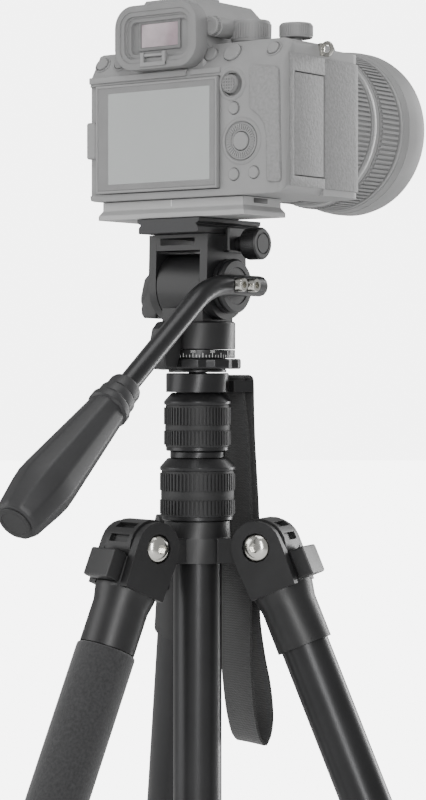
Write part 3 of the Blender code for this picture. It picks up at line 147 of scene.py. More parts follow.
class StageSettings(bpy.types.PropertyGroup):
    """Camera, floor and light."""

    view_azimuth: bpy.props.FloatProperty(
        name="View azimuth", description="Direction that the view is taken from",
        subtype="ANGLE", unit="ROTATION", default=math.radians(36.5))
    view_distance: length("View distance", "From the camera to the column's axis", 0.3, 100, 1.24)
    view_rise: length("View rise", "Height of the eye above the spider's underside", -10, 10,
                      98.9 * MM)
    field: bpy.props.FloatProperty(
        name="Field of view", description="Vertical angle of view", subtype="ANGLE",
        unit="ROTATION", min=0.05, max=2.0, default=2 * math.atan(400 / 2400))
    floor_colour: colour("Floor", "Colour of the floor", (0.9, 0.9, 0.9))


# ---------------------------------------------------------------- materials
def node_group(name, inputs, outputs):
    group = bpy.data.node_groups.new(name, "ShaderNodeTree")
    for label, value in inputs.items():
        socket = group.interface.new_socket(label, in_out="INPUT", socket_type="NodeSocketFloat")
        socket.default_value = value
    for label in outputs:
        group.interface.new_socket(label, in_out="OUTPUT", socket_type="NodeSocketFloat")
    return group, group.nodes.new("NodeGroupInput"), group.nodes.new("NodeGroupOutput")


def math_node(tree, operation, a, b=None):
    node = tree.nodes.new("ShaderNodeMath")
    node.operation = operation
    for socket, value in zip(node.inputs, (a, b)):
        if value is None:
            continue
        if isinstance(value, (int, float)):
            socket.default_value = value
        else:
            tree.links.new(value, socket)
    return node.outputs[0]


def noise(tree, vector, scale, detail=2.0):
    node = tree.nodes.new("ShaderNodeTexNoise")
    node.inputs["Detail"].default_value = detail
    tree.links.new(vector, node.inputs["Vector"])
    if isinstance(scale, (int, float)):
        node.inputs["Scale"].default_value = scale
    else:
        tree.links.new(scale, node.inputs["Scale"])
    return node.outputs["Fac"]


def grain_group():
    """Fine grain for a bump, with slow mottling of the colour and of the gloss."""
    found = bpy.data.node_groups.get("surface_grain")
    if found:
        return found
    inputs = {"Scale": 1500.0, "Mottle Scale": 60.0, "Roughness": 0.5, "Spread": 0.1}
    group, given, made = node_group("surface_grain", inputs, ("Height", "Mottle", "Roughness"))
    place = group.nodes.new("ShaderNodeTexCoord").outputs["Object"]
    fine = noise(group, place, given.outputs["Scale"], 3.0)
    slow = noise(group, place, given.outputs["Mottle Scale"], 4.0)
    swing = math_node(group, "MULTIPLY", math_node(group, "SUBTRACT", slow, 0.5),
                      given.outputs["Spread"])
    rough = math_node(group, "ADD", given.outputs["Roughness"], swing)
    group.links.new(fine, made.inputs["Height"])
    group.links.new(slow, made.inputs["Mottle"])
    group.links.new(rough, made.inputs["Roughness"])
    return group


def weave_group():
    """Ribbed webbing across and along the strap's own UV map, in millimetres."""
    found = bpy.data.node_groups.get("webbing_weave")
    if found:
        return found
    group, given, made = node_group("webbing_weave", {"Pitch": 1.4}, ("Height", "Mask"))
    uv = group.nodes.new("ShaderNodeUVMap")
    uv.uv_map = "webbing"
    split = group.nodes.new("ShaderNodeSeparateXYZ")
    group.links.new(uv.outputs["UV"], split.inputs[0])
    turn = math_node(group, "DIVIDE", 2 * math.pi, given.outputs["Pitch"])
    along = math_node(group, "SINE", math_node(group, "MULTIPLY", split.outputs["Y"], turn))
    across = math_node(group, "SINE", math_node(group, "MULTIPLY", split.outputs["X"], turn))
    both = math_node(group, "MULTIPLY", along, across)
    height = math_node(group, "ADD", math_node(group, "MULTIPLY", both, 0.35),
                       math_node(group, "MULTIPLY", along, 0.3))
    group.links.new(math_node(group, "ADD", height, 0.5), made.inputs["Height"])
    group.links.new(math_node(group, "ADD", math_node(group, "MULTIPLY", both, 0.5), 0.5),
                    made.inputs["Mask"])
    return group


def place_group(tree, group, values):
    node = tree.nodes.new("ShaderNodeGroup")
    node.node_tree = group
    for label, value in values.items():
        node.inputs[label].default_value = value
    return node


def finish(name, colour, roughness, metallic=0.0, grain=1500.0, depth=0.05, spread=0.12,
           mottle=0.12, mottle_scale=60.0, coat=0.0, sheen=0.0):
    """A grained, slightly mottled surface."""
    made = bpy.data.materials.get(name)
    if made:
        return made
    made = bpy.data.materials.new(name)
    made.use_nodes = True
    tree = made.node_tree
    shader = tree.nodes["Principled BSDF"]
    for label, value in (("Metallic", metallic), ("Coat Weight", coat), ("Coat Roughness", 0.2),
                         ("Sheen Weight", sheen)):
        shader.inputs[label].default_value = value
    surface = place_group(tree, grain_group(), {
        "Scale": grain, "Mottle Scale": mottle_scale, "Roughness": roughness, "Spread": spread,
    })
    shades = tree.nodes.new("ShaderNodeValToRGB")
    shades.color_ramp.elements[0].color = (*(c * (1 - mottle) for c in colour), 1)
    shades.color_ramp.elements[1].color = (*(min(1, c * (1 + mottle)) for c in colour), 1)
    shades.color_ramp.elements[0].position = 0.3
    shades.color_ramp.elements[1].position = 0.7
    bump = tree.nodes.new("ShaderNodeBump")
    bump.inputs["Distance"].default_value = depth * MM
    bump.inputs["Strength"].default_value = 0.6
    tree.links.new(surface.outputs["Mottle"], shades.inputs["Fac"])
    tree.links.new(shades.outputs["Color"], shader.inputs["Base Color"])
    tree.links.new(surface.outputs["Roughness"], shader.inputs["Roughness"])
    tree.links.new(surface.outputs["Height"], bump.inputs["Height"])
    tree.links.new(bump.outputs["Normal"], shader.inputs["Normal"])
    made.diffuse_color = (*colour, 1)
    return made


def webbing_material():
    made = bpy.data.materials.get("woven_webbing")
    if made:
        return made
    made = finish("woven_webbing", (0.012, 0.012, 0.012), 0.8, sheen=0.3)
    tree = made.node_tree
    weave = place_group(tree, weave_group(), {"Pitch": 1.3})
    bump = next(n for n in tree.nodes if n.bl_idname == "ShaderNodeBump")
    bump.inputs["Distance"].default_value = 0.25 * MM
    tree.links.new(weave.outputs["Height"], bump.inputs["Height"])
    return made


def tripod():
    return bpy.context.scene.tripod_finish


def pale():
    return bpy.context.scene.camera_finish


# For each surface: the material slot it belongs to, material name, colour or the setting that
# holds it, roughness, metallic, grain scale, grain depth in mm, spread of the gloss, mottle,
# mottle scale, coat and sheen.
SURFACES = {
    "anodised": ("anodised", "satin_anodised", "metal", 0.34, 0.6, 2600, 0.012, 0.08, 0.08, 40),
    "casting": ("cast_black", "painted_casting", "casting", 0.42, 0.0, 1500, 0.03, 0.1, 0.12, 90),
    "rubber": ("rubber", "moulded_rubber", "rubber", 0.6, 0.0, 1800, 0.04, 0.14, 0.16, 70),
    "grip_rubber": ("rubber", "handle_rubber", (0.02, 0.02, 0.021), 0.5, 0.0, 2600, 0.02, 0.08,
        0.1, 50),
    "foam": ("foam", "fine_foam", "foam", 0.92, 0.0, 1100, 0.35, 0.06, 0.3, 700, 0.0, 0.2),
    "steel": ("steel", "polished_steel", (0.62, 0.61, 0.57), 0.2, 1.0, 900, 0.004, 0.08, 0.06,
        200),
    "shell": ("pale_body", "pale_shell", "shell", 0.55, 0.0, 2400, 0.02, 0.08, 0.04, 90),
    "skin": ("pale_rubber", "grip_skin", "skin", 0.62, 0.0, 620, 0.9, 0.1, 0.12, 620),
    "ring_rubber": ("pale_rubber", "pale_ring_rubber", (0.2, 0.2, 0.2), 0.7, 0.0, 2000, 0.03,
        0.08, 0.06, 80),
    "light_plate": ("pale_metal", "light_plate", "plate", 0.42, 0.1, 2200, 0.01, 0.08, 0.03, 60),
    "display": ("screen", "display_glass", "screen", 0.16, 0.0, 300, 0.001, 0.04, 0.02, 30, 0.4),
    "white_paint": ("anodised", "white_paint", (0.72, 0.72, 0.72), 0.5, 0.0, 1500, 0.01, 0.05,
        0.05, 200),
    "dark_grey": ("pale_body", "finder_mask_grey", (0.16, 0.16, 0.16), 0.6, 0.0, 1500, 0.01, 0.05,
        0.1, 200),
    # Painted shade: a near-black surface that stands for the shaded opening of the plate's strap
    # slot.
    "painted_slot_shade": ("pale_metal", "dark_recess", (0.06, 0.06, 0.06), 0.6, 0.0, 1500, 0.01, 0.05,
        0.1, 200),
    "lens_glass": ("glass", "coated_glass", (0.1, 0.105, 0.12), 0.06, 0.0, 200, 0.0005, 0.02,
        0.02, 20, 1.0),
    "eye_glass": ("glass", "eyepiece_glass", (0.3, 0.235, 0.26), 0.15, 0.0, 200, 0.001, 0.05, 0.2,
        90, 0.6),
}


def surface(key):
    """The material of a surface, made once."""
    if key == "webbing":
        return webbing_material()
    _, name, shade, *values = SURFACES[key]
    if isinstance(shade, str):
        shade = getattr(tripod() if hasattr(tripod(), shade) else pale(), shade)
    return finish(name, shade, *values)


# ---------------------------------------------------------------- modelling
def deselect():
    for thing in list(bpy.context.selected_objects):
        thing.select_set(False)


def pick(piece):
    """Selects one object alone and makes it active."""
    deselect()
    bpy.context.view_layer.objects.active = piece
    piece.select_set(True)


def edit(piece):
    pick(piece)
    bpy.ops.object.mode_set(mode="EDIT")


def select_faces(piece, chosen):
    """Selects the faces that chosen(centre, normal) accepts, in edit mode."""
    mesh = bmesh.from_edit_mesh(piece.data)
    bpy.ops.mesh.select_all(action="DESELECT")
    for face in mesh.faces:
        face.select_set(bool(chosen(face.calc_center_median(), face.normal)))
    bmesh.update_edit_mesh(piece.data)


def settle(piece, name, place, material, body, slot=None, smooth=35, replaces=()):
    """Names a piece, puts its place in its mesh, smooths it and hands it to its body."""
    if bpy.context.mode != "OBJECT":
        bpy.ops.object.mode_set(mode="OBJECT")
    pick(piece)
    piece.name = name
    piece.data.name = name
    piece.matrix_world = place @ piece.matrix_world
    bpy.ops.object.transform_apply(location=True, rotation=True, scale=True)
    bpy.ops.object.shade_smooth_by_angle(angle=math.radians(smooth))
    piece.data.materials.clear()
    piece.data.materials.append(surface(material))
    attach(piece, body)
    if not slot:
        slot = material if material == "webbing" else SURFACES[material][0]
    if replaces:
        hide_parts(*replaces)
    return piece


def turned(rings, segments=64, shape=None):
    """A turned solid: a disc drawn up ring by ring through (radius, height) pairs, in mm."""
    deselect()
    radius, height = rings[0]
    closed = rings[0] == rings[-1]
    bpy.ops.mesh.primitive_circle_add(vertices=segments, radius=radius * MM,
                                      fill_type="NOTHING" if closed else "NGON",
                                      location=(0, 0, height * MM))
    piece = bpy.context.active_object
    bpy.ops.object.transform_apply(location=True, rotation=True, scale=True)
    bpy.ops.object.mode_set(mode="EDIT")
    bpy.ops.mesh.select_mode(type="VERT")
    bpy.ops.mesh.select_all(action="SELECT")
    for new_radius, new_height in rings[1:]:
        bpy.ops.mesh.extrude_region_move(
            TRANSFORM_OT_translate={"value": (0, 0, (new_height - height) * MM)})
        share = new_radius / radius
        bpy.ops.transform.resize(value=(share, share, 1), center_override=(0, 0, new_height * MM))
        radius, height = new_radius, new_height
    bpy.ops.mesh.select_all(action="SELECT")
    if closed:
        bpy.ops.mesh.remove_doubles(threshold=0.000002)
    bpy.ops.mesh.normals_make_consistent(inside=False)
    bpy.ops.mesh.select_mode(type="FACE")
    if shape:
        shape(piece)
    bpy.ops.object.mode_set(mode="OBJECT")
    return piece


def raise_ribs(piece, low, high, height):
    """Lifts every second outer side face between two heights in mm into a rib."""

    def turn(centre):
        return round(math.atan2(centre.y, centre.x) % (2 * math.pi), 4)

    def faces_out(centre, normal):
        outward = Vector((centre.x, centre.y, 0)).normalized()
        return low * MM < centre.z < high * MM and normal.dot(outward) > 0.7

    sides = ((face.calc_center_median(), face.normal)
             for face in bmesh.from_edit_mesh(piece.data).faces)
    turns = sorted({turn(centre) for centre, normal in sides if faces_out(centre, normal)})
    ribbed = set(turns[::2])
    select_faces(piece, lambda centre, normal: faces_out(centre, normal)
                 and turn(centre) in ribbed)
    lift(height)


def lift(height):
    """Pushes the selected faces out along their normals, in mm."""
    bpy.ops.mesh.extrude_region_shrink_fatten(
        TRANSFORM_OT_shrink_fatten={"value": height * MM})


def box(low, high, bevel=0.5, segments=2):
    """A block between two corners in mm, with rounded edges."""
    deselect()
    low, high = Vector(low) * MM, Vector(high) * MM
    bpy.ops.mesh.primitive_cube_add(size=1, location=(low + high) / 2, scale=high - low)
    piece = bpy.context.active_object
    bpy.ops.object.transform_apply(location=True, rotation=True, scale=True)
    bpy.ops.object.mode_set(mode="EDIT")
    bpy.ops.mesh.select_all(action="SELECT")
    if bevel:
        bpy.ops.mesh.bevel(offset=bevel * MM, segments=segments, affect="EDGES")
    bpy.ops.object.mode_set(mode="OBJECT")
    return piece


def join(pieces):
    """Several meshes as one piece."""
    deselect()
    for piece in pieces:
        piece.select_set(True)
    bpy.context.view_layer.objects.active = pieces[0]
    if len(pieces) > 1:
        bpy.ops.object.join()
    return pieces[0]


def put(piece, place):
    """Moves a new part before it is joined, with its place in its mesh."""
    pick(piece)
    piece.matrix_world = place @ piece.matrix_world
    bpy.ops.object.transform_apply(location=True, rotation=True, scale=True)
    return piece


def ring(rings, segments=64, shape=None):
    """A turned ring with an open middle, its section drawn right round in mm."""
    return turned(list(rings) + [rings[0]], segments, shape)


def carve(piece, cutter):
    """Cuts one shape out of another and removes the cutter."""
    pick(piece)
    tool = piece.modifiers.new("carve", "BOOLEAN")
    tool.operation = "DIFFERENCE"
    tool.solver = "EXACT"
    tool.object = cutter
    bpy.ops.object.modifier_apply(modifier="carve")
    bpy.data.objects.remove(cutter)
    return piece


def soften(piece, width, segments=2, sharp=30):
    """Rounds every edge sharper than an angle."""
    edit(piece)
    bpy.ops.mesh.select_all(action="DESELECT")
    bpy.ops.mesh.select_mode(type="EDGE")
    bpy.ops.mesh.edges_select_sharp(sharpness=math.radians(sharp))
    bpy.ops.mesh.bevel(offset=width * MM, segments=segments, affect="EDGES")
    bpy.ops.mesh.select_mode(type="FACE")
    bpy.ops.object.mode_set(mode="OBJECT")
    return piece


def round_edges(piece, chosen, width, segments):
    """Rounds the edges whose two ends chosen(a, b) accepts, by a width in mm."""
    edit(piece)
    mesh = bmesh.from_edit_mesh(piece.data)
    bpy.ops.mesh.select_mode(type="EDGE")
    bpy.ops.mesh.select_all(action="DESELECT")
    for edge in mesh.edges:
        edge.select_set(chosen(*(vertex.co for vertex in edge.verts)))
    bmesh.update_edit_mesh(piece.data)
    bpy.ops.mesh.bevel(offset=width * MM, segments=segments, affect="EDGES")
    bpy.ops.mesh.select_mode(type="FACE")
    bpy.ops.object.mode_set(mode="OBJECT")


def sink_face(piece, toward, margin, depth):
    """Insets the faces that look a way, then pushes the middle in, in mm."""
    edit(piece)
    toward = Vector(toward)
    select_faces(piece, lambda centre, normal: normal.dot(toward) > 0.95)
    bpy.ops.mesh.inset(thickness=margin * MM, depth=0)
    bpy.ops.mesh.extrude_region_move(
        TRANSFORM_OT_translate={"value": tuple(-depth * MM * c for c in toward)})
    bpy.ops.object.mode_set(mode="OBJECT")
    return piece


class MakeTool:
    bl_options = {"REGISTER"}


# ---------------------------------------------------------------- castings and tubes
CAD_FINISHES = {
    "spider": ("casting", 0.5), "column_outer_tube": ("anodised", 0.25),
    "column_inner_tube": ("anodised", 0.4), "head_lock_ring": ("anodised", 0.4),
    "pan_base": ("anodised", 0.2), "pan_housing": ("casting", 0.5),
    "pan_knob": ("casting", 0.3), "tilt_knob": ("casting", 0.3),
    "tilt_cradle": ("casting", 0.5), "handle_rod": ("anodised", 0.3),
    "head_plate": ("anodised", 0.3), "camera_plate": ("light_plate", 0.4),
    "camera_body": ("shell", 0.6), "card_door": ("skin", 0.3),
    "screen_hinge": ("shell", 0.3), "fn_button": ("shell", 0.25),
    "play_button": ("shell", 0.25), "delete_button": ("shell", 0.25),
    "custom_button": ("shell", 0.3), "focus_button": ("shell", 0.3),
    "select_button": ("shell", 0.25), "shutter_button": ("shell", 0.3),
}
LEG_FINISHES = {
    "yoke": ("casting", 0.6), "latch": ("casting", 0.3), "upper_tube": ("anodised", 0.25),
    "lower_tube": ("anodised", 0.25), "foot": ("rubber", 0.8),
}


def smooth_group():
    """Merges a frame node's loose triangles and smooths all but its sharp edges."""
    found = bpy.data.node_groups.get("merge_and_smooth")
    if found:
        return found
    group = bpy.data.node_groups.new("merge_and_smooth", "GeometryNodeTree")
    group.interface.new_socket("Geometry", in_out="INPUT", socket_type="NodeSocketGeometry")
    group.interface.new_socket("Geometry", in_out="OUTPUT", socket_type="NodeSocketGeometry")
    given, made = group.nodes.new("NodeGroupInput"), group.nodes.new("NodeGroupOutput")
    merge = group.nodes.new("GeometryNodeMergeByDistance")
    merge.inputs["Distance"].default_value = 0.00001
    faces = group.nodes.new("GeometryNodeSetShadeSmooth")
    edges = group.nodes.new("GeometryNodeSetShadeSmooth")
    edges.domain = "EDGE"
    edges.inputs["Shade Smooth"].default_value = False
    angle = group.nodes.new("GeometryNodeInputMeshEdgeAngle")
    sharp = group.nodes.new("FunctionNodeCompare")
    sharp.operation = "GREATER_THAN"
    sharp.inputs[1].default_value = SHARP_EDGE
    group.links.new(angle.outputs[0], sharp.inputs[0])
    group.links.new(sharp.outputs[0], edges.inputs["Selection"])
    group.links.new(given.outputs[0], merge.inputs["Geometry"])
    group.links.new(merge.outputs[0], faces.inputs["Geometry"])
    group.links.new(faces.outputs[0], edges.inputs["Geometry"])
    group.links.new(edges.outputs[0], made.inputs[0])
    return group


class TRIPOD_OT_castings(MakeTool, bpy.types.Operator):
    """Gives the frame's own castings, tubes and shells their finish and rounded edges"""

    bl_idname = "tripod.castings"
    bl_label = "Castings, tubes and shells"

    def execute(self, context):
        finishes = dict(CAD_FINISHES)
        for number in (1, 2, 3):
            for part, value in LEG_FINISHES.items():
                finishes[f"leg_{number}_{part}"] = value
        for node, (material, width) in finishes.items():
            piece = frame["nodes"][node]
            for slot in piece.material_slots:
                slot.material = surface(material)
            merge = piece.modifiers.new("merge_and_smooth", "NODES")
            merge.node_group = smooth_group()
            bevel = piece.modifiers.new("rounded_edges", "BEVEL")
            bevel.width = width * MM
            bevel.segments = 2
            bevel.limit_method = "ANGLE"
            bevel.angle_limit = BEVEL_EDGE
            bevel.harden_normals = True
            normals = piece.modifiers.new("even_normals", "WEIGHTED_NORMAL")
            normals.keep_sharp = True
        return {"FINISHED"}


# ---------------------------------------------------------------- column
class TRIPOD_OT_column_locks(MakeTool, bpy.types.Operator):
    """Models the two column twist locks with their metal rims and ribbed belts"""

    bl_idname = "tripod.column_locks"
    bl_label = "Column locks"

    def execute(self, context):
        lock("column_lock_lower", "lower_lock", 21.6, 53.4, 19.5, 16.0, 13.0, 45.7)
        lock("column_lock_upper", "upper_lock", 57.2, 87.2, 17.4, 13.9, 11.5, 84.0)
        return {"FINISHED"}


def lock(node, body, low, high, radius, bore, lip, shoulder):
    """One twist lock: bottom rim, rubber sleeve with two ribbed belts, and tapered top cap."""
    place = column_place()
    segments = 2 * tripod().lock_ribs
    rim_top, cap_low = low + 2.0, high - 6.2
    rim = ring([(bore, low), (radius - 1.6, low), (radius - 1.1, low + 0.4),
                (radius - 1.1, rim_top), (bore, rim_top)])
    settle(rim, f"{node}_rim", place, "anodised", body, replaces=(node,))
    base = radius - 0.75
    lower_belt = (rim_top + 1.2, rim_top + 8.4)
    upper_belt = (cap_low - 10.2, cap_low - 1.4)
    profile = [(bore, rim_top + 0.05), (base - 0.3, rim_top + 0.05), (base, rim_top + 0.4)]
    profile += [(base, lower_belt[0]), (base, lower_belt[1]), (base + 0.2, lower_belt[1] + 0.5)]
    profile += [(base + 0.2, upper_belt[0] - 0.5), (base, upper_belt[0]), (base, upper_belt[1])]
    profile += [(base - 0.3, cap_low - 0.05), (bore, cap_low - 0.05)]

    def belts(piece):
        for belt_low, belt_high in (lower_belt, upper_belt):
            raise_ribs(piece, belt_low, belt_high, 0.75)

    sleeve = ring(profile, segments, belts)
    settle(sleeve, f"{node}_sleeve", place, "rubber", body, smooth=28, replaces=(node,))
    cap = ring([(lip if shoulder < cap_low else bore, cap_low), (radius - 0.35, cap_low),
                (radius, cap_low + 0.5), (radius, cap_low + 1.7), (radius - 0.3, cap_low + 2.1),
                (radius - 3.4, high - 0.6), (radius - 4.0, high), (lip, high)]
               + ([] if shoulder < cap_low else [(lip, shoulder), (bore, shoulder)]))
    settle(cap, f"{node}_cap", place, "anodised", body, replaces=(node,))


class TRIPOD_OT_wrist_strap(MakeTool, bpy.types.Operator):
    """Hangs the woven wrist strap through its slot in the column's top plate"""

    bl_idname = "tripod.wrist_strap"
    bl_label = "Wrist strap"

    def execute(self, context):
        settings = tripod()
        points = smooth_path(STRAP_PATH, 4.0)
        width, cells = settings.strap_width, 6
        turn = Matrix.Rotation(STRAP_AZIMUTH, 4, "Z")
        place = column_place() @ turn
        mesh = bpy.data.meshes.new("wrist_strap_webbing")
        shape = bmesh.new()
        uv = shape.loops.layers.uv.new("webbing")
        rows, run = [], 0.0
        for i, point in enumerate(points):
            if i:
                run += (point - points[i - 1]).length
            low = max(0.0, (10.0 - point.y) / 116.0)
            twist = math.radians(5) * low ** 1.5
            row = []
            for k in range(cells + 1):
                across = (k / cells - 0.5) * width / MM
                cup = 0.5 * (1 - (2 * k / cells - 1) ** 2)
                at = Vector((point.x + across * math.sin(twist) + cup,
                             across * math.cos(twist) + 2.0 * low, point.y)) * MM
                row.append((shape.verts.new(at), across, run))
            rows.append(row)
        for lower, upper in zip(rows, rows[1:]):
            for k in range(cells):
                corners = (lower[k], lower[k + 1], upper[k + 1], upper[k])
                face = shape.faces.new([corner[0] for corner in corners])
                for loop, corner in zip(face.loops, corners):
                    loop[uv].uv = (corner[1], corner[2])
        shape.to_mesh(mesh)
        shape.free()
        strap = bpy.data.objects.new("wrist_strap_webbing", mesh)
        context.scene.collection.objects.link(strap)
        pick(strap)
        thick = strap.modifiers.new("thickness", "SOLIDIFY")
        thick.thickness = settings.strap_thickness
        thick.offset = 0
        bpy.ops.object.modifier_apply(modifier="thickness")
        settle(strap, "wrist_strap_webbing", place, "webbing", "inner_column",
               smooth=50, replaces=("wrist_strap",))
        return {"FINISHED"}


STRAP_AZIMUTH = math.radians(75.8)
STRAP_PATH = [
    (38.0, -97.2), (34.5, -93.5), (31.4, -84.0), (28.9, -70.0), (27.0, -51.0), (26.4, -25.0),
    (26.4, 0.0), (26.2, 22.0), (24.2, 60.0), (21.8, 80.0), (20.8, 88.0), (20.7, 93.0),
    (21.6, 95.0), (23.9, 95.8), (26.4, 94.8), (27.0, 91.0), (27.2, 80.0), (27.9, 62.0),
    (29.0, 47.0), (30.6, 24.0), (31.2, -5.0), (32.2, -30.0), (36.0, -50.0), (39.8, -64.0),
    (42.0, -76.0), (42.6, -85.0), (41.2, -93.0), (38.4, -97.3),
]


def smooth_path(corners, step):
    """A smooth run through corners in mm, with a point about every step."""
    corners = [Vector(corner) for corner in corners]
    path = [corners[0]]
    for i in range(len(corners) - 1):
        before = corners[max(i - 1, 0)]
        start, end = corners[i], corners[i + 1]
        after = corners[min(i + 2, len(corners) - 1)]
        count = max(2, round((end - start).length / step))
        for k in range(1, count + 1):
            t = k / count
            path.append(0.5 * (2 * start + (end - before) * t
                               + (2 * before - 5 * start + 4 * end - after) * t ** 2
                               + (3 * start - before - 3 * end + after) * t ** 3))
    return path


# ---------------------------------------------------------------- legs
class TRIPOD_OT_leg_details(MakeTool, bpy.types.Operator):
    """Models the pivot bolts, the leg locks and the foam sleeve"""

    bl_idname = "tripod.leg_details"
    bl_label = "Bolts, leg locks and foam"

    def execute(self, context):
        for number in (1, 2, 3):
            place = leg_frame(number)
            pivot_bolt(number, place)
            leg_lock(number, place)
        low, high = -264.5, -54.5
        foam_ring = ring([(12.8, low), (14.4, low), (15.1, low + 0.6), (15.3, low + 1.8),
                          (15.3, high - 1.8), (15.1, high - 0.6), (14.4, high), (12.8, high)], 72)
        settle(foam_ring, "leg_3_foam_sleeve", leg_frame(3), "foam", "leg_3", smooth=50,
               replaces=("leg_3_foam_grip",))
        return {"FINISHED"}


def pivot_bolt(number, place):
    """The hinge bolt: a domed head with a hex socket and a washer at each end."""
    ends = []
    for side in (1, -1):
        head = turned([(2.9, 6.0), (2.9, 14.15), (7.1, 14.15), (7.1, 14.9), (6.6, 15.6),
                       (5.6, 16.7), (4.2, 17.5), (2.6, 17.9), (1.0, 18.0)], 48)
        carve(head, turned([(2.5, 15.6), (2.5, 20.0)], 6))
        flip = turned_by(-90 * side, "X")
        ends.append(put(head, flip))
    bolt = join(ends)
    name = f"leg_{number}_pivot_bolt"
    settle(bolt, f"{name}_heads", place, "steel", f"leg_{number}", replaces=(name,))


def leg_lock(number, place):
    """A leg's twist lock with one broad ribbed belt."""
    low, high = -416.5, -383.5
    name = f"leg_{number}_twist_lock"

    def belt(piece):
        raise_ribs(piece, low + 6, high - 6, 0.7)

    sleeve = ring([(11.4, low), (13.4, low), (13.9, low + 0.5), (14.5, low + 4.5),
                   (14.8, low + 6), (14.8, high - 6), (14.8, high - 4.5), (14.1, high - 3),
                   (14.1, high - 0.5), (13.6, high), (12.8, high), (12.8, -400.3),
                   (11.4, -400.3)], 2 * 36, belt)
    settle(sleeve, f"{name}_sleeve", place, "rubber", f"leg_{number}_lock", smooth=28,
           replaces=(name,))


# ---------------------------------------------------------------- head
class TRIPOD_OT_head_details(MakeTool, bpy.types.Operator):
    """Models the degree scale, clamp knob and handle clamp of the head"""

    bl_idname = "tripod.head_details"
    bl_label = "Head details"

    def execute(self, context):
        marks = []
        for i in range(DEGREE_MARKS):
            tall = 2.3 if i % 3 == 0 else 1.3
            tick = box((19.35, -0.13, 105.3), (19.5, 0.13, 105.3 + tall), 0.02, 1)
            marks.append(put(tick, turned_by(360 * i / DEGREE_MARKS, "Z")))
        settle(join(marks), "degree_marks", column_place(), "white_paint", "inner_column")
        numbers = []
        for i in range(DEGREE_NUMBERS):
            bpy.ops.object.text_add()
            label = bpy.context.active_object
            label.data.body = str(360 * i // DEGREE_NUMBERS)
            label.data.size = 1.7 * MM
            label.data.extrude = 0.04 * MM
            label.data.align_x = "CENTER"
            pick(label)
            bpy.ops.object.convert(target="MESH")
            stand = Matrix.Translation(Vector((19.45, 0, 107.75)) * MM)
            face = Matrix(((0, 0, 1, 0), (1, 0, 0, 0), (0, 1, 0, 0), (0, 0, 0, 1)))
            turn = turned_by(360 * i / DEGREE_NUMBERS, "Z")
            numbers.append(put(bpy.context.active_object, turn @ stand @ face))
        settle(join(numbers), "degree_numbers", column_place(), "white_paint", "inner_column")
        index = box((-0.3, -19.75, 110.2), (0.3, -19.5, 113.0), 0.05, 1)
        settle(index, "pan_index_mark", column_place(), "white_paint", "pan_head",
               slot="cast_black")
        tilt = Matrix.Translation(TILT_AXIS) @ TO_RIGHT
        self.clamp_knob()
        disc = turned([(13.4, 19.1), (14.0, 19.7), (14.0, 21.8), (13.0, 22.0), (13.0, 22.8),
                       (14.0, 23.0), (14.0, 24.2), (12.8, 25.4), (9.6, 25.4), (9.2, 25.1)], 72)
        settle(disc, "handle_rosette", tilt, "casting", "handle", smooth=30,
               replaces=("handle_clamp",))
        for i, back in enumerate((2.7, 13.6)):
            screw = turned([(2.0, 25.5), (2.0, 34.65), (3.2, 34.65), (3.45, 34.95),
                            (3.45, 39.2), (3.1, 39.7)], 48)
            carve(screw, turned([(1.9, 37.2), (1.9, 42.0)], 6))
            move = Matrix.Translation(Vector((0, -back, 0)) * MM)
            place = Matrix.Translation(TILT_AXIS) @ move @ TO_RIGHT
            settle(screw, f"rod_bolt_{i + 1}", place, "steel", "handle",
                   replaces=("handle_clamp",))
        return {"FINISHED"}

    def clamp_knob(self):
        place = Matrix.Translation(TILT_AXIS + Vector((0, 6, 21.6)) * MM) @ TO_RIGHT

        def knurl(piece):
            raise_ribs(piece, 29.0, 36.2, 0.35)

        knob = turned([(3.0, 15.5), (3.0, 22.6), (4.0, 22.6), (4.0, 26.9), (6.6, 26.9),
                       (7.95, 28.2), (7.95, 29.0), (7.95, 36.2), (7.95, 36.6), (7.3, 37.3),
                       (5.6, 37.3), (5.5, 36.9), (4.9, 36.9), (4.8, 37.3)], 84, knurl)
        settle(knob, "clamp_knob_knurled", place, "casting", "clamp_knob", slot="rubber",
               smooth=28,
               replaces=("clamp_knob",))


class TRIPOD_OT_handle_grip(MakeTool, bpy.types.Operator):
    """Models the stepped and facetted rubber grip of the pan handle"""

    bl_idname = "tripod.handle_grip"
    bl_label = "Handle grip"

    def execute(self, context):
        drop = math.radians(37.3)
        slope = Matrix.Rotation(math.radians(90) + drop, 4, "X")
        place = Matrix.Translation(TILT_AXIS + Vector((31, -31.4, 0)) * MM) @ slope
        neck = turned([(6.1, 84.1), (7.9, 84.1), (8.3, 85.2), (8.3, 90.2), (7.7, 90.8),
                       (7.7, 91.4), (9.2, 91.7), (9.4, 92.3), (9.4, 96.4), (8.9, 97.0),
                       (8.9, 97.5), (10.2, 97.8), (10.5, 98.5), (10.5, 101.6), (9.8, 102.2),
                       (9.0, 103.0)], 64)
        settle(neck, "grip_neck", place, "grip_rubber", "handle", smooth=30,
               replaces=("handle_grip",))
        flare = turned([(9.6, 101.0), (9.9, 104.0), (10.6, 112.0), (14.2, 154.0), (14.5, 160.0),
                        (13.9, 166.0), (11.6, 181.0), (10.6, 183.4), (9.4, 184.2)], 10)
        soften(flare, 1.1, 3, 20)
        settle(flare, "grip_body", place, "grip_rubber", "handle", smooth=25,
               replaces=("handle_grip",))
        cap = turned([(8.0, 182.0), (8.6, 184.6), (8.2, 185.2), (6.6, 185.4), (6.4, 185.1),
                      (3.0, 185.0)], 48)
        settle(cap, "grip_end_cap", place, "rubber", "handle", replaces=("handle_grip",))
        return {"FINISHED"}


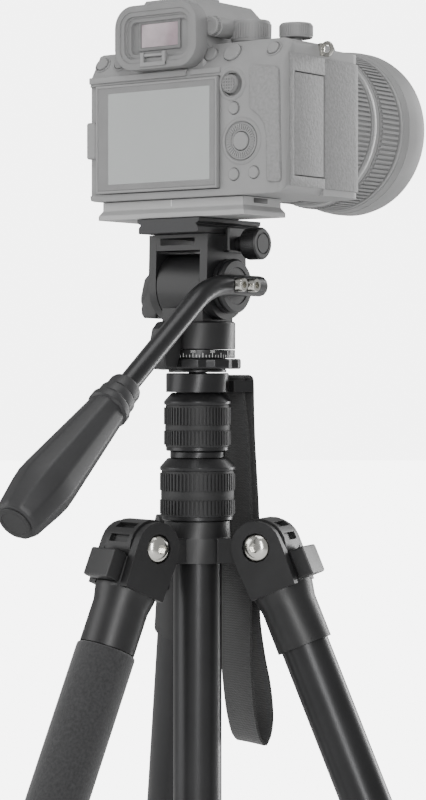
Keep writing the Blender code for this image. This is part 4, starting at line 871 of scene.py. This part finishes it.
# ---------------------------------------------------------------- camera
class TRIPOD_OT_lens(MakeTool, bpy.types.Operator):
    """Models the lens barrel, its two ribbed rings and its front glass"""

    bl_idname = "tripod.lens"
    bl_label = "Lens"

    def execute(self, context):
        place = Matrix.Translation(Vector((LENS_AXIS.x, COLUMN.y, LENS_AXIS.z))) @ TO_FRONT
        barrel = turned([
            (33.6, 31.3), (34.0, 31.7), (34.0, 37.6), (34.5, 38.4), (37.4, 41.4), (38.0, 42.2),
            (38.0, 59.6), (38.4, 60.4), (39.6, 62.2), (40.0, 63.0), (41.4, 79.0), (41.6, 80.0),
            (41.6, 83.2), (41.2, 83.6), (39.4, 83.6), (39.4, 101.4), (42.0, 101.4), (42.4, 101.8),
            (43.1, 106.8), (42.7, 107.6), (41.0, 107.6), (41.0, 127.4), (43.8, 127.4),
            (44.1, 127.9), (44.1, 129.0), (43.7, 129.3), (43.7, 129.9), (44.4, 130.2),
            (45.2, 133.4), (45.0, 133.7), (45.0, 134.3), (45.4, 134.6), (45.8, 140.0),
            (45.8, 146.6), (45.5, 148.0), (44.8, 150.6), (44.2, 151.0),
            (40.6, 151.0), (40.0, 150.4), (36.4, 146.0), (36.3, 138.1), (20.0, 138.1),
        ], 96)
        settle(barrel, "lens_shell", place, "shell", "camera", smooth=28,
               replaces=("lens_barrel",))
        # A thin raised ring in the lighter plate colour: its lightness is a painted highlight line
        # round the barrel between the zoom and focus rings.
        bright = ring([(41.3, 102.6), (42.6, 102.6), (42.9, 102.9), (42.9, 104.4),
                       (42.75, 104.7), (41.3, 104.7)], 96)
        settle(bright, "lens_bright_line", place, "light_plate", "camera")
        ribbed_ring("zoom_ring", 39.9, 41.4, 84.1, 100.9, place)
        ribbed_ring("focus_ring", 41.5, 43.0, 108.1, 126.9, place)
        dome = turned([(36.0, 138.4), (36.0, 140.2), (34.0, 141.2), (28.0, 143.0), (20.0, 144.2),
                       (10.0, 144.8), (2.0, 144.95)], 96)
        settle(dome, "front_glass", place, "lens_glass", "camera", smooth=60,
               replaces=("front_element",))
        return {"FINISHED"}


def ribbed_ring(node, inner, outer, low, high, place):
    """A turning ring with fine lengthwise ribs between two plain edges."""

    def ribs(piece):
        raise_ribs(piece, low + 1.4, high - 1.4, 0.9)

    made = ring([(inner, low), (outer - 0.2, low), (outer, low + 0.3), (outer, low + 1.4),
                 (outer, high - 1.4), (outer, high - 0.3), (outer - 0.2, high), (inner, high)],
                2 * pale().ring_ribs, ribs)
    settle(made, f"{node}_ribbed", place, "ring_rubber", node, smooth=25, replaces=(node,))


class TRIPOD_OT_screen(MakeTool, bpy.types.Operator):
    """Models the swing-out screen: its bevelled frame and its display"""

    bl_idname = "tripod.screen"
    bl_label = "Screen"

    def execute(self, context):
        frame_piece = box((-43.8, -29.5, 3.8), (33.9, -25.2, 59.4), 0)
        sink_face(frame_piece, (0, -1, 0), 1.3, 0.5)
        soften(frame_piece, 0.35, 2)
        settle(frame_piece, "screen_bezel", camera_place(), "shell", "screen",
               replaces=("screen_panel",))
        border = box((-42.2, -29.2, 5.3), (32.4, -28.7, 57.9), 0.15, 1)
        settle(border, "screen_border", camera_place(), "ring_rubber", "screen", slot="screen",
               replaces=("screen_panel",))
        glass = box((-35.6, -29.3, 8.2), (29.4, -28.8, 55.0), 0.06, 1)
        settle(glass, "screen_display", camera_place(), "display", "screen",
               replaces=("screen_panel",))
        return {"FINISHED"}


class TRIPOD_OT_eyecup(MakeTool, bpy.types.Operator):
    """Models the eyecup with its nested steps, the eyepiece glass and the dials beside it"""

    bl_idname = "tripod.eyecup"
    bl_label = "Eyecup and finder"

    def execute(self, context):
        cup = box((-26, -36, 65.1), (26, -26.2, 97.9), 0)
        round_edges(cup, lambda a, b: abs(a.y - b.y) > 0.9 * (a - b).length, 11, 8)
        for margin, depth in ((3.4, 0.8), (2.2, 1.6), (0.8, 0.9), (1.8, 2.4)):
            bpy.ops.object.mode_set(mode="OBJECT")
            self.step(cup, margin, depth)
        bpy.ops.object.mode_set(mode="OBJECT")
        soften(cup, 0.45, 2, 35)
        settle(cup, "eyecup_hood", camera_place(), "ring_rubber", "camera",
               smooth=35, replaces=("eyecup",))
        mask = box((-14.4, -31.2, 75.0), (12.4, -30.0, 90.4), 0)
        sink_face(mask, (0, -1, 0), 1.6, 0.6)
        soften(mask, 0.3)
        settle(mask, "finder_mask", camera_place(), "dark_grey", "camera")
        glass = box((-12.6, -30.75, 76.8), (10.6, -30.3, 88.6), 0.2, 2)
        settle(glass, "finder_glass", camera_place(), "eye_glass", "camera")
        parts = [box((-8.8, -37.0, 66.4), (-6.6, -34.8, 73.4), 0.4)]
        parts.append(box((5.0, -37.0, 66.4), (7.2, -34.8, 73.4), 0.4))
        parts.append(box((-8.8, -37.2, 66.2), (7.2, -34.8, 68.4), 0.4))
        parts.append(box((-6.8, -36.5, 71.2), (5.2, -34.8, 72.6), 0.3))
        settle(join(parts), "finder_bracket", camera_place(), "shell", "camera")

        def knurl(piece):
            raise_ribs(piece, 0.2, 2.6, 0.3)

        dial = turned([(5.2, -13.0), (5.2, -0.6), (4.6, -0.3), (4.6, 0.2), (4.6, 2.6), (4.1, 3.1),
                       (2.6, 3.2), (2.4, 2.9)], 48, knurl)
        settle(dial, "diopter_dial", camera_place(27.4, -23, 85.6) @ TO_BACK,
               "shell", "camera", smooth=28)
        knob = turned([(3.6, 0.0), (3.9, 0.2), (3.9, 2.6), (3.3, 3.2), (1.6, 3.3)], 40)
        settle(knob, "finder_knob", camera_place(-25.6, -24, 78.0)
               @ turned_by(-90, "Y"), "shell", "camera")
        return {"FINISHED"}

    def step(self, piece, margin, depth):
        """One step inwards on the farthest back face."""
        edit(piece)
        mesh = bmesh.from_edit_mesh(piece.data)
        facing = [f for f in mesh.faces if f.normal.y < -0.95]
        deepest = max(f.calc_center_median().y for f in facing)
        bpy.ops.mesh.select_all(action="DESELECT")
        for face in facing:
            face.select_set(face.calc_center_median().y > deepest - 0.00005)
        bmesh.update_edit_mesh(piece.data)
        bpy.ops.mesh.inset(thickness=margin * MM, depth=0)
        bpy.ops.mesh.extrude_region_move(TRANSFORM_OT_translate={"value": (0, depth * MM, 0)})


class TRIPOD_OT_controls(MakeTool, bpy.types.Operator):
    """Models the dials, the control wheel, the joystick and the buttons that don't move"""

    bl_idname = "tripod.controls"
    bl_label = "Dials and controls"

    def execute(self, context):
        top = 77.0

        def knurl(piece):
            raise_ribs(piece, 3.0, 10.6, 0.4)

        dial = turned([(3.0, -3.5), (3.0, 1.2), (9.4, 1.2), (9.9, 1.7), (9.9, 3.0), (10.1, 10.6),
                       (9.9, 11.8), (9.2, 12.5), (7.6, 12.5), (7.4, 12.2), (2.0, 12.2)], 88, knurl)
        settle(dial, "mode_dial_knurled", camera_place(36.2, -3, top), "shell",
               "mode_dial", smooth=28, replaces=("mode_dial",))

        def fine(piece):
            raise_ribs(piece, 3.0, 8.2, 0.3)

        dial = turned([(3.0, -3.5), (3.0, 2.0), (8.0, 2.0), (8.3, 2.3), (8.3, 3.0), (8.3, 8.2),
                       (8.3, 8.6), (7.6, 9.4), (6.4, 9.4), (6.2, 9.1), (1.5, 9.1)], 100, fine)
        settle(dial, "exposure_dial_knurled", camera_place(61.8, 0, top), "shell",
               "exposure_dial", smooth=28, replaces=("exposure_dial",))
        self.wheel()
        self.joystick()
        self.fixed_buttons()
        return {"FINISHED"}

    def wheel(self):
        def ribs(piece):
            select_faces(piece, lambda c, n: n.z > 0.9 and 5.8 * MM < c.xy.length < 8.4 * MM
                         and round(math.degrees(math.atan2(c.y, c.x)) / 5.0 + 100.25) % 2 == 0)
            lift(0.55)

        made = ring([(5.0, -2.7), (9.3, -2.7), (9.35, 0.3), (8.6, 0.7), (8.4, 0.5), (5.8, 0.45),
                     (5.0, 0.35)], 72, ribs)
        place = camera_place(47.5, BACK, 26.4) @ TO_BACK
        settle(made, "control_wheel_ribbed", place, "shell", "control_wheel",
               smooth=25, replaces=("control_wheel",))

    def joystick(self):
        cap = turned([(2.2, -2.3), (2.2, 0.2), (4.2, 0.6), (4.65, 1.4), (4.5, 2.2), (4.0, 2.9),
                      (3.2, 3.05)], 40)
        parts = [cap]
        for i in range(-2, 3):
            middle = i * 1.5
            reach = math.sqrt(3.9 ** 2 - middle ** 2)
            parts.append(box((middle - 0.35, -reach, 2.7), (middle + 0.35, reach, 3.5), 0.1, 1))
            parts.append(box((-reach, middle - 0.35, 2.7), (reach, middle + 0.35, 3.48), 0.1, 1))
        place = camera_place(41.7, BACK, 55.0) @ TO_BACK
        settle(join(parts), "joystick_cap", place, "ring_rubber", "joystick",
               smooth=30, replaces=("joystick",))

    def fixed_buttons(self):
        lean = math.atan2(8.0, 13.5)
        face = Matrix.Rotation(math.radians(90) - lean, 4, "X")
        buttons = (("menu_button", -32.3, 3.6), ("left_custom_button", -44.6, 3.4),
                   ("lock_button", 64.0, 3.2))
        for name, x, radius in buttons:
            z = 71.3
            y = BACK + 8.0 * (z - 63.5) / 13.5
            button = turned([(radius + 1.2, -0.4), (radius + 1.2, 0.35), (radius + 0.9, 0.7),
                             (radius + 0.55, 0.6), (radius + 0.4, -0.35), (radius, -0.35),
                             (radius, 1.1), (radius - 0.4, 1.5), (radius - 1.0, 1.55)], 40)
            settle(button, name, camera_place(x, y, z) @ face, "shell", "camera")


def plate_from(outline, low, high, bevel=0.4):
    """A plate facing the camera's back, its outline in mm across and up, between two depths."""
    deselect()
    bpy.ops.mesh.primitive_circle_add(vertices=len(outline), radius=MM, fill_type="NGON")
    piece = bpy.context.active_object
    edit(piece)
    mesh = bmesh.from_edit_mesh(piece.data)
    mesh.verts.ensure_lookup_table()
    for vertex, (across, up) in zip(mesh.verts, outline):
        vertex.co = Vector((across, low, up)) * MM
    bmesh.update_edit_mesh(piece.data)
    bpy.ops.mesh.select_all(action="SELECT")
    bpy.ops.mesh.extrude_region_move(
        TRANSFORM_OT_translate={"value": (0, (high - low) * MM, 0)})
    bpy.ops.mesh.select_all(action="SELECT")
    bpy.ops.mesh.normals_make_consistent(inside=False)
    bpy.ops.object.mode_set(mode="OBJECT")
    return soften(piece, bevel, 3) if bevel else piece


THUMB_REST = [
    (53.0, 42.5), (53.0, 62.0), (54.6, 63.6), (68.6, 61.6), (70.4, 60.0), (71.6, 6.4), (70.6, 5.2),
    (64.6, 5.2), (63.6, 6.4), (63.0, 30.0), (61.6, 34.6), (58.6, 38.4),
]


class TRIPOD_OT_body_details(MakeTool, bpy.types.Operator):
    """Models the skins, screen ledge, surrounds, shoe rails, strap lugs, plate index line and
    painted slot shade
    """

    bl_idname = "tripod.body_details"
    bl_label = "Body and plate details"

    def execute(self, context):
        rest = plate_from(THUMB_REST, -28.5, -26.0, 0.7)
        settle(rest, "thumb_rest_skin", camera_place(), "skin", "camera")
        sheath = box((41.8, 8.9, 3.6), (73.6, 46.6, 69.0), 0)
        round_edges(sheath, lambda a, b: abs(a.z - b.z) > 0.01 and a.y > 0.03, 11.2, 10)
        soften(sheath, 0.5, 2)
        side = carve(box((72.6, -21.8, 3.6), (73.6, 8.7, 69.0), 0),
                     box((70.0, -18.4, 8.5), (76.0, 12.0, 60.5), 0))
        soften(side, 0.3)
        settle(join([sheath, side]), "grip_skin", camera_place(), "skin", "camera")
        door = box((72.5, -17.8, 9.2), (73.5, 7.4, 59.8), 0.3)
        settle(door, "door_skin", camera_place(), "skin", "card_door")
        ledge = [plate_from([(-49.6, 61.0), (13.4, 61.0), (13.4, 63.0), (14.4, 64.4),
                             (-49.6, 64.4)], -28.0, -26.0, 0.5)]
        ledge.append(plate_from([(16.0, 61.2), (34.6, 61.2), (34.6, 64.2), (16.0, 64.2)],
                                -27.7, -26.0, 0.4))
        settle(join(ledge), "screen_ledge", camera_place(), "shell", "camera")
        for name, x, z, inner in (("stick_surround", 41.7, 55.0, 6.3),
                                  ("wheel_surround", 47.5, 26.4, 9.9)):
            made = ring([(inner, -0.4), (inner, 0.5), (inner + 0.5, 0.9), (inner + 1.2, 0.8),
                         (inner + 2.0, 0.1), (inner + 2.1, -0.4)], 64)
            settle(made, name, camera_place(x, BACK, z) @ TO_BACK, "shell", "camera")
        rails = [box((-9.4, -14, 102.9), (-5.4, 6, 103.9), 0.25, 1)]
        rails.append(box((5.4, -14, 102.9), (9.4, 6, 103.9), 0.25, 1))
        rails.append(box((-9.4, 5.0, 101.4), (9.4, 6.6, 103.9), 0.25, 1))
        settle(join(rails), "shoe_rails", camera_place(), "light_plate", "camera")
        for name, x, way in (("right_strap_lug", 73.0, 1), ("left_strap_lug", -52.0, -1)):
            eye = ring([(2.2, -0.6), (3.0, -0.9), (3.8, -0.6), (4.1, 0.0), (3.8, 0.6), (3.0, 0.9),
                        (2.2, 0.6), (1.9, 0.0)], 32)
            put(eye, Matrix.Translation(Vector((3.4 * way, 0, 0)) * MM) @ TO_BACK)
            post = box((min(-way, 1.2 * way), -1.6, -3.2), (max(-way, 1.2 * way), 1.6, 3.2), 0.5)
            lug = join([eye, post])
            settle(lug, name, camera_place(x, 6, 73.2), "steel", "camera")
        line = box((-0.25, -22.25, -3.9), (0.25, -22.0, -0.4), 0.04, 1)
        settle(line, "plate_index_line", camera_place(), "white_paint", "camera",
               slot="pale_metal")
        # The strap slot is a thin near-black box on the plate's side: painted shade where the slot
        # opens.
        slot = box((44.6, -13.0, -3.4), (45.2, -1.0, -0.8), 0)
        soften(slot, 0.25)
        settle(slot, "plate_strap_slot", camera_place(), "painted_slot_shade", "camera")
        return {"FINISHED"}


# ---------------------------------------------------------------- stage
def camera_mix(tree, lit, seen):
    """Mixes a bright clean surface, for what is seen directly, over one that lights the rest."""
    path = tree.nodes.new("ShaderNodeLightPath")
    mix = tree.nodes.new("ShaderNodeMixShader")
    tree.links.new(path.outputs["Is Camera Ray"], mix.inputs[0])
    tree.links.new(lit.outputs[0], mix.inputs[1])
    tree.links.new(seen.outputs[0], mix.inputs[2])
    return mix.outputs[0]


class TRIPOD_OT_stage(MakeTool, bpy.types.Operator):
    """Sets the camera, the pale floor and the soft studio light"""

    bl_idname = "tripod.stage"
    bl_label = "Floor, light and camera"

    def execute(self, context):
        settings = context.scene.stage_settings
        azimuth = settings.view_azimuth
        right = Vector((math.cos(azimuth), math.sin(azimuth), 0))
        away = Vector((-math.sin(azimuth), math.cos(azimuth), 0))
        eye = COLUMN + EYE_ASIDE * right - settings.view_distance * away
        eye.z = SPIDER_BOTTOM + settings.view_rise
        data = bpy.data.cameras.new("view")
        data.sensor_width = 36.0
        data.lens = 18.0 / math.tan(settings.field / 2)
        data.shift_y = VIEW_SHIFT
        data.clip_start = 0.01
        data.clip_end = 100.0
        view = bpy.data.objects.new("view", data)
        view.location = eye
        view.rotation_euler = (math.radians(90), 0, azimuth)
        context.scene.collection.objects.link(view)
        context.scene.camera = view
        self.floor(settings)
        self.lights(right, away)
        return {"FINISHED"}

    def floor(self, settings):
        ground = turned([(FLOOR_RADIUS, -30.0), (FLOOR_RADIUS, -0.05), (11000.0, -0.05)], 96)
        ground.name = "pale_floor"
        made = bpy.data.materials.new("pale_floor")
        made.use_nodes = True
        tree = made.node_tree
        shader = tree.nodes["Principled BSDF"]
        shader.inputs["Base Color"].default_value = (*settings.floor_colour, 1)
        shader.inputs["Roughness"].default_value = 0.75
        seen = tree.nodes.new("ShaderNodeEmission")
        seen.inputs["Strength"].default_value = SEEN_FLOOR
        tree.links.new(camera_mix(tree, shader, seen),
                       tree.nodes["Material Output"].inputs["Surface"])
        ground.data.materials.append(made)

    def lights(self, right, away):
        world = bpy.data.worlds.new("studio")
        bpy.context.scene.world = world
        world.use_nodes = True
        tree = world.node_tree
        soft = tree.nodes["Background"]
        soft.inputs["Color"].default_value = (1, 1, 1, 1)
        soft.inputs["Strength"].default_value = SOFT_LIGHT
        seen = tree.nodes.new("ShaderNodeBackground")
        seen.inputs["Strength"].default_value = SEEN_WORLD
        tree.links.new(camera_mix(tree, soft, seen), tree.nodes["World Output"].inputs["Surface"])
        middle = Vector((COLUMN.x, COLUMN.y, SPIDER_BOTTOM + 0.1))
        panels = (
            ("front_strip", 0.1, -1.9, 0.45, 0.3, 1.5, 26.0),
            ("left_panel", -1.6, -0.2, 0.3, 1.1, 1.6, 16.0),
            ("right_strip", 1.3, 1.1, 0.2, 0.35, 1.6, 26.0),
            ("top_panel", 0.1, -0.2, 1.6, 1.0, 1.0, 12.0),
        )
        for name, across, depth, up, wide, tall, power in panels:
            data = bpy.data.lights.new(name, "AREA")
            data.shape = "RECTANGLE"
            data.size, data.size_y = wide, tall
            data.energy = power
            lamp = bpy.data.objects.new(name, data)
            lamp.location = middle + across * right + depth * away + Vector((0, 0, up))
            lamp.rotation_euler = (middle - lamp.location).to_track_quat("-Z", "Y").to_euler()
            bpy.context.scene.collection.objects.link(lamp)


# ---------------------------------------------------------------- panel and run
OPERATORS = (
    TRIPOD_OT_castings, TRIPOD_OT_column_locks, TRIPOD_OT_wrist_strap, TRIPOD_OT_leg_details,
    TRIPOD_OT_head_details, TRIPOD_OT_handle_grip, TRIPOD_OT_lens, TRIPOD_OT_screen,
    TRIPOD_OT_eyecup, TRIPOD_OT_controls, TRIPOD_OT_body_details, TRIPOD_OT_stage,
)


class TRIPOD_PT_panel(bpy.types.Panel):
    """Lists the pieces that can be built"""

    bl_idname = "TRIPOD_PT_panel"
    bl_label = "Camera on travel tripod"
    bl_space_type = "VIEW_3D"
    bl_region_type = "UI"
    bl_category = "Tripod"

    def draw(self, context):
        for operator in OPERATORS:
            self.layout.operator(operator.bl_idname)
        for settings in (context.scene.tripod_finish, context.scene.camera_finish,
                         context.scene.stage_settings):
            for name in settings.bl_rna.properties.keys():
                if name not in ("rna_type", "name"):
                    self.layout.prop(settings, name)


SETTINGS = {
    "tripod_finish": TripodFinish, "camera_finish": CameraFinish, "stage_settings": StageSettings,
}


def register():
    for kind in (*SETTINGS.values(), *OPERATORS, TRIPOD_PT_panel):
        bpy.utils.register_class(kind)
    for name, kind in SETTINGS.items():
        setattr(bpy.types.Scene, name, bpy.props.PointerProperty(type=kind))


def unregister():
    for name in SETTINGS:
        delattr(bpy.types.Scene, name)
    for kind in reversed((*SETTINGS.values(), *OPERATORS, TRIPOD_PT_panel)):
        bpy.utils.unregister_class(kind)


def main():
    register()
    deselect()
    for operator in OPERATORS:
        group, name = operator.bl_idname.split(".")
        getattr(getattr(bpy.ops, group), name)()


if __name__ == "__main__":
    main()
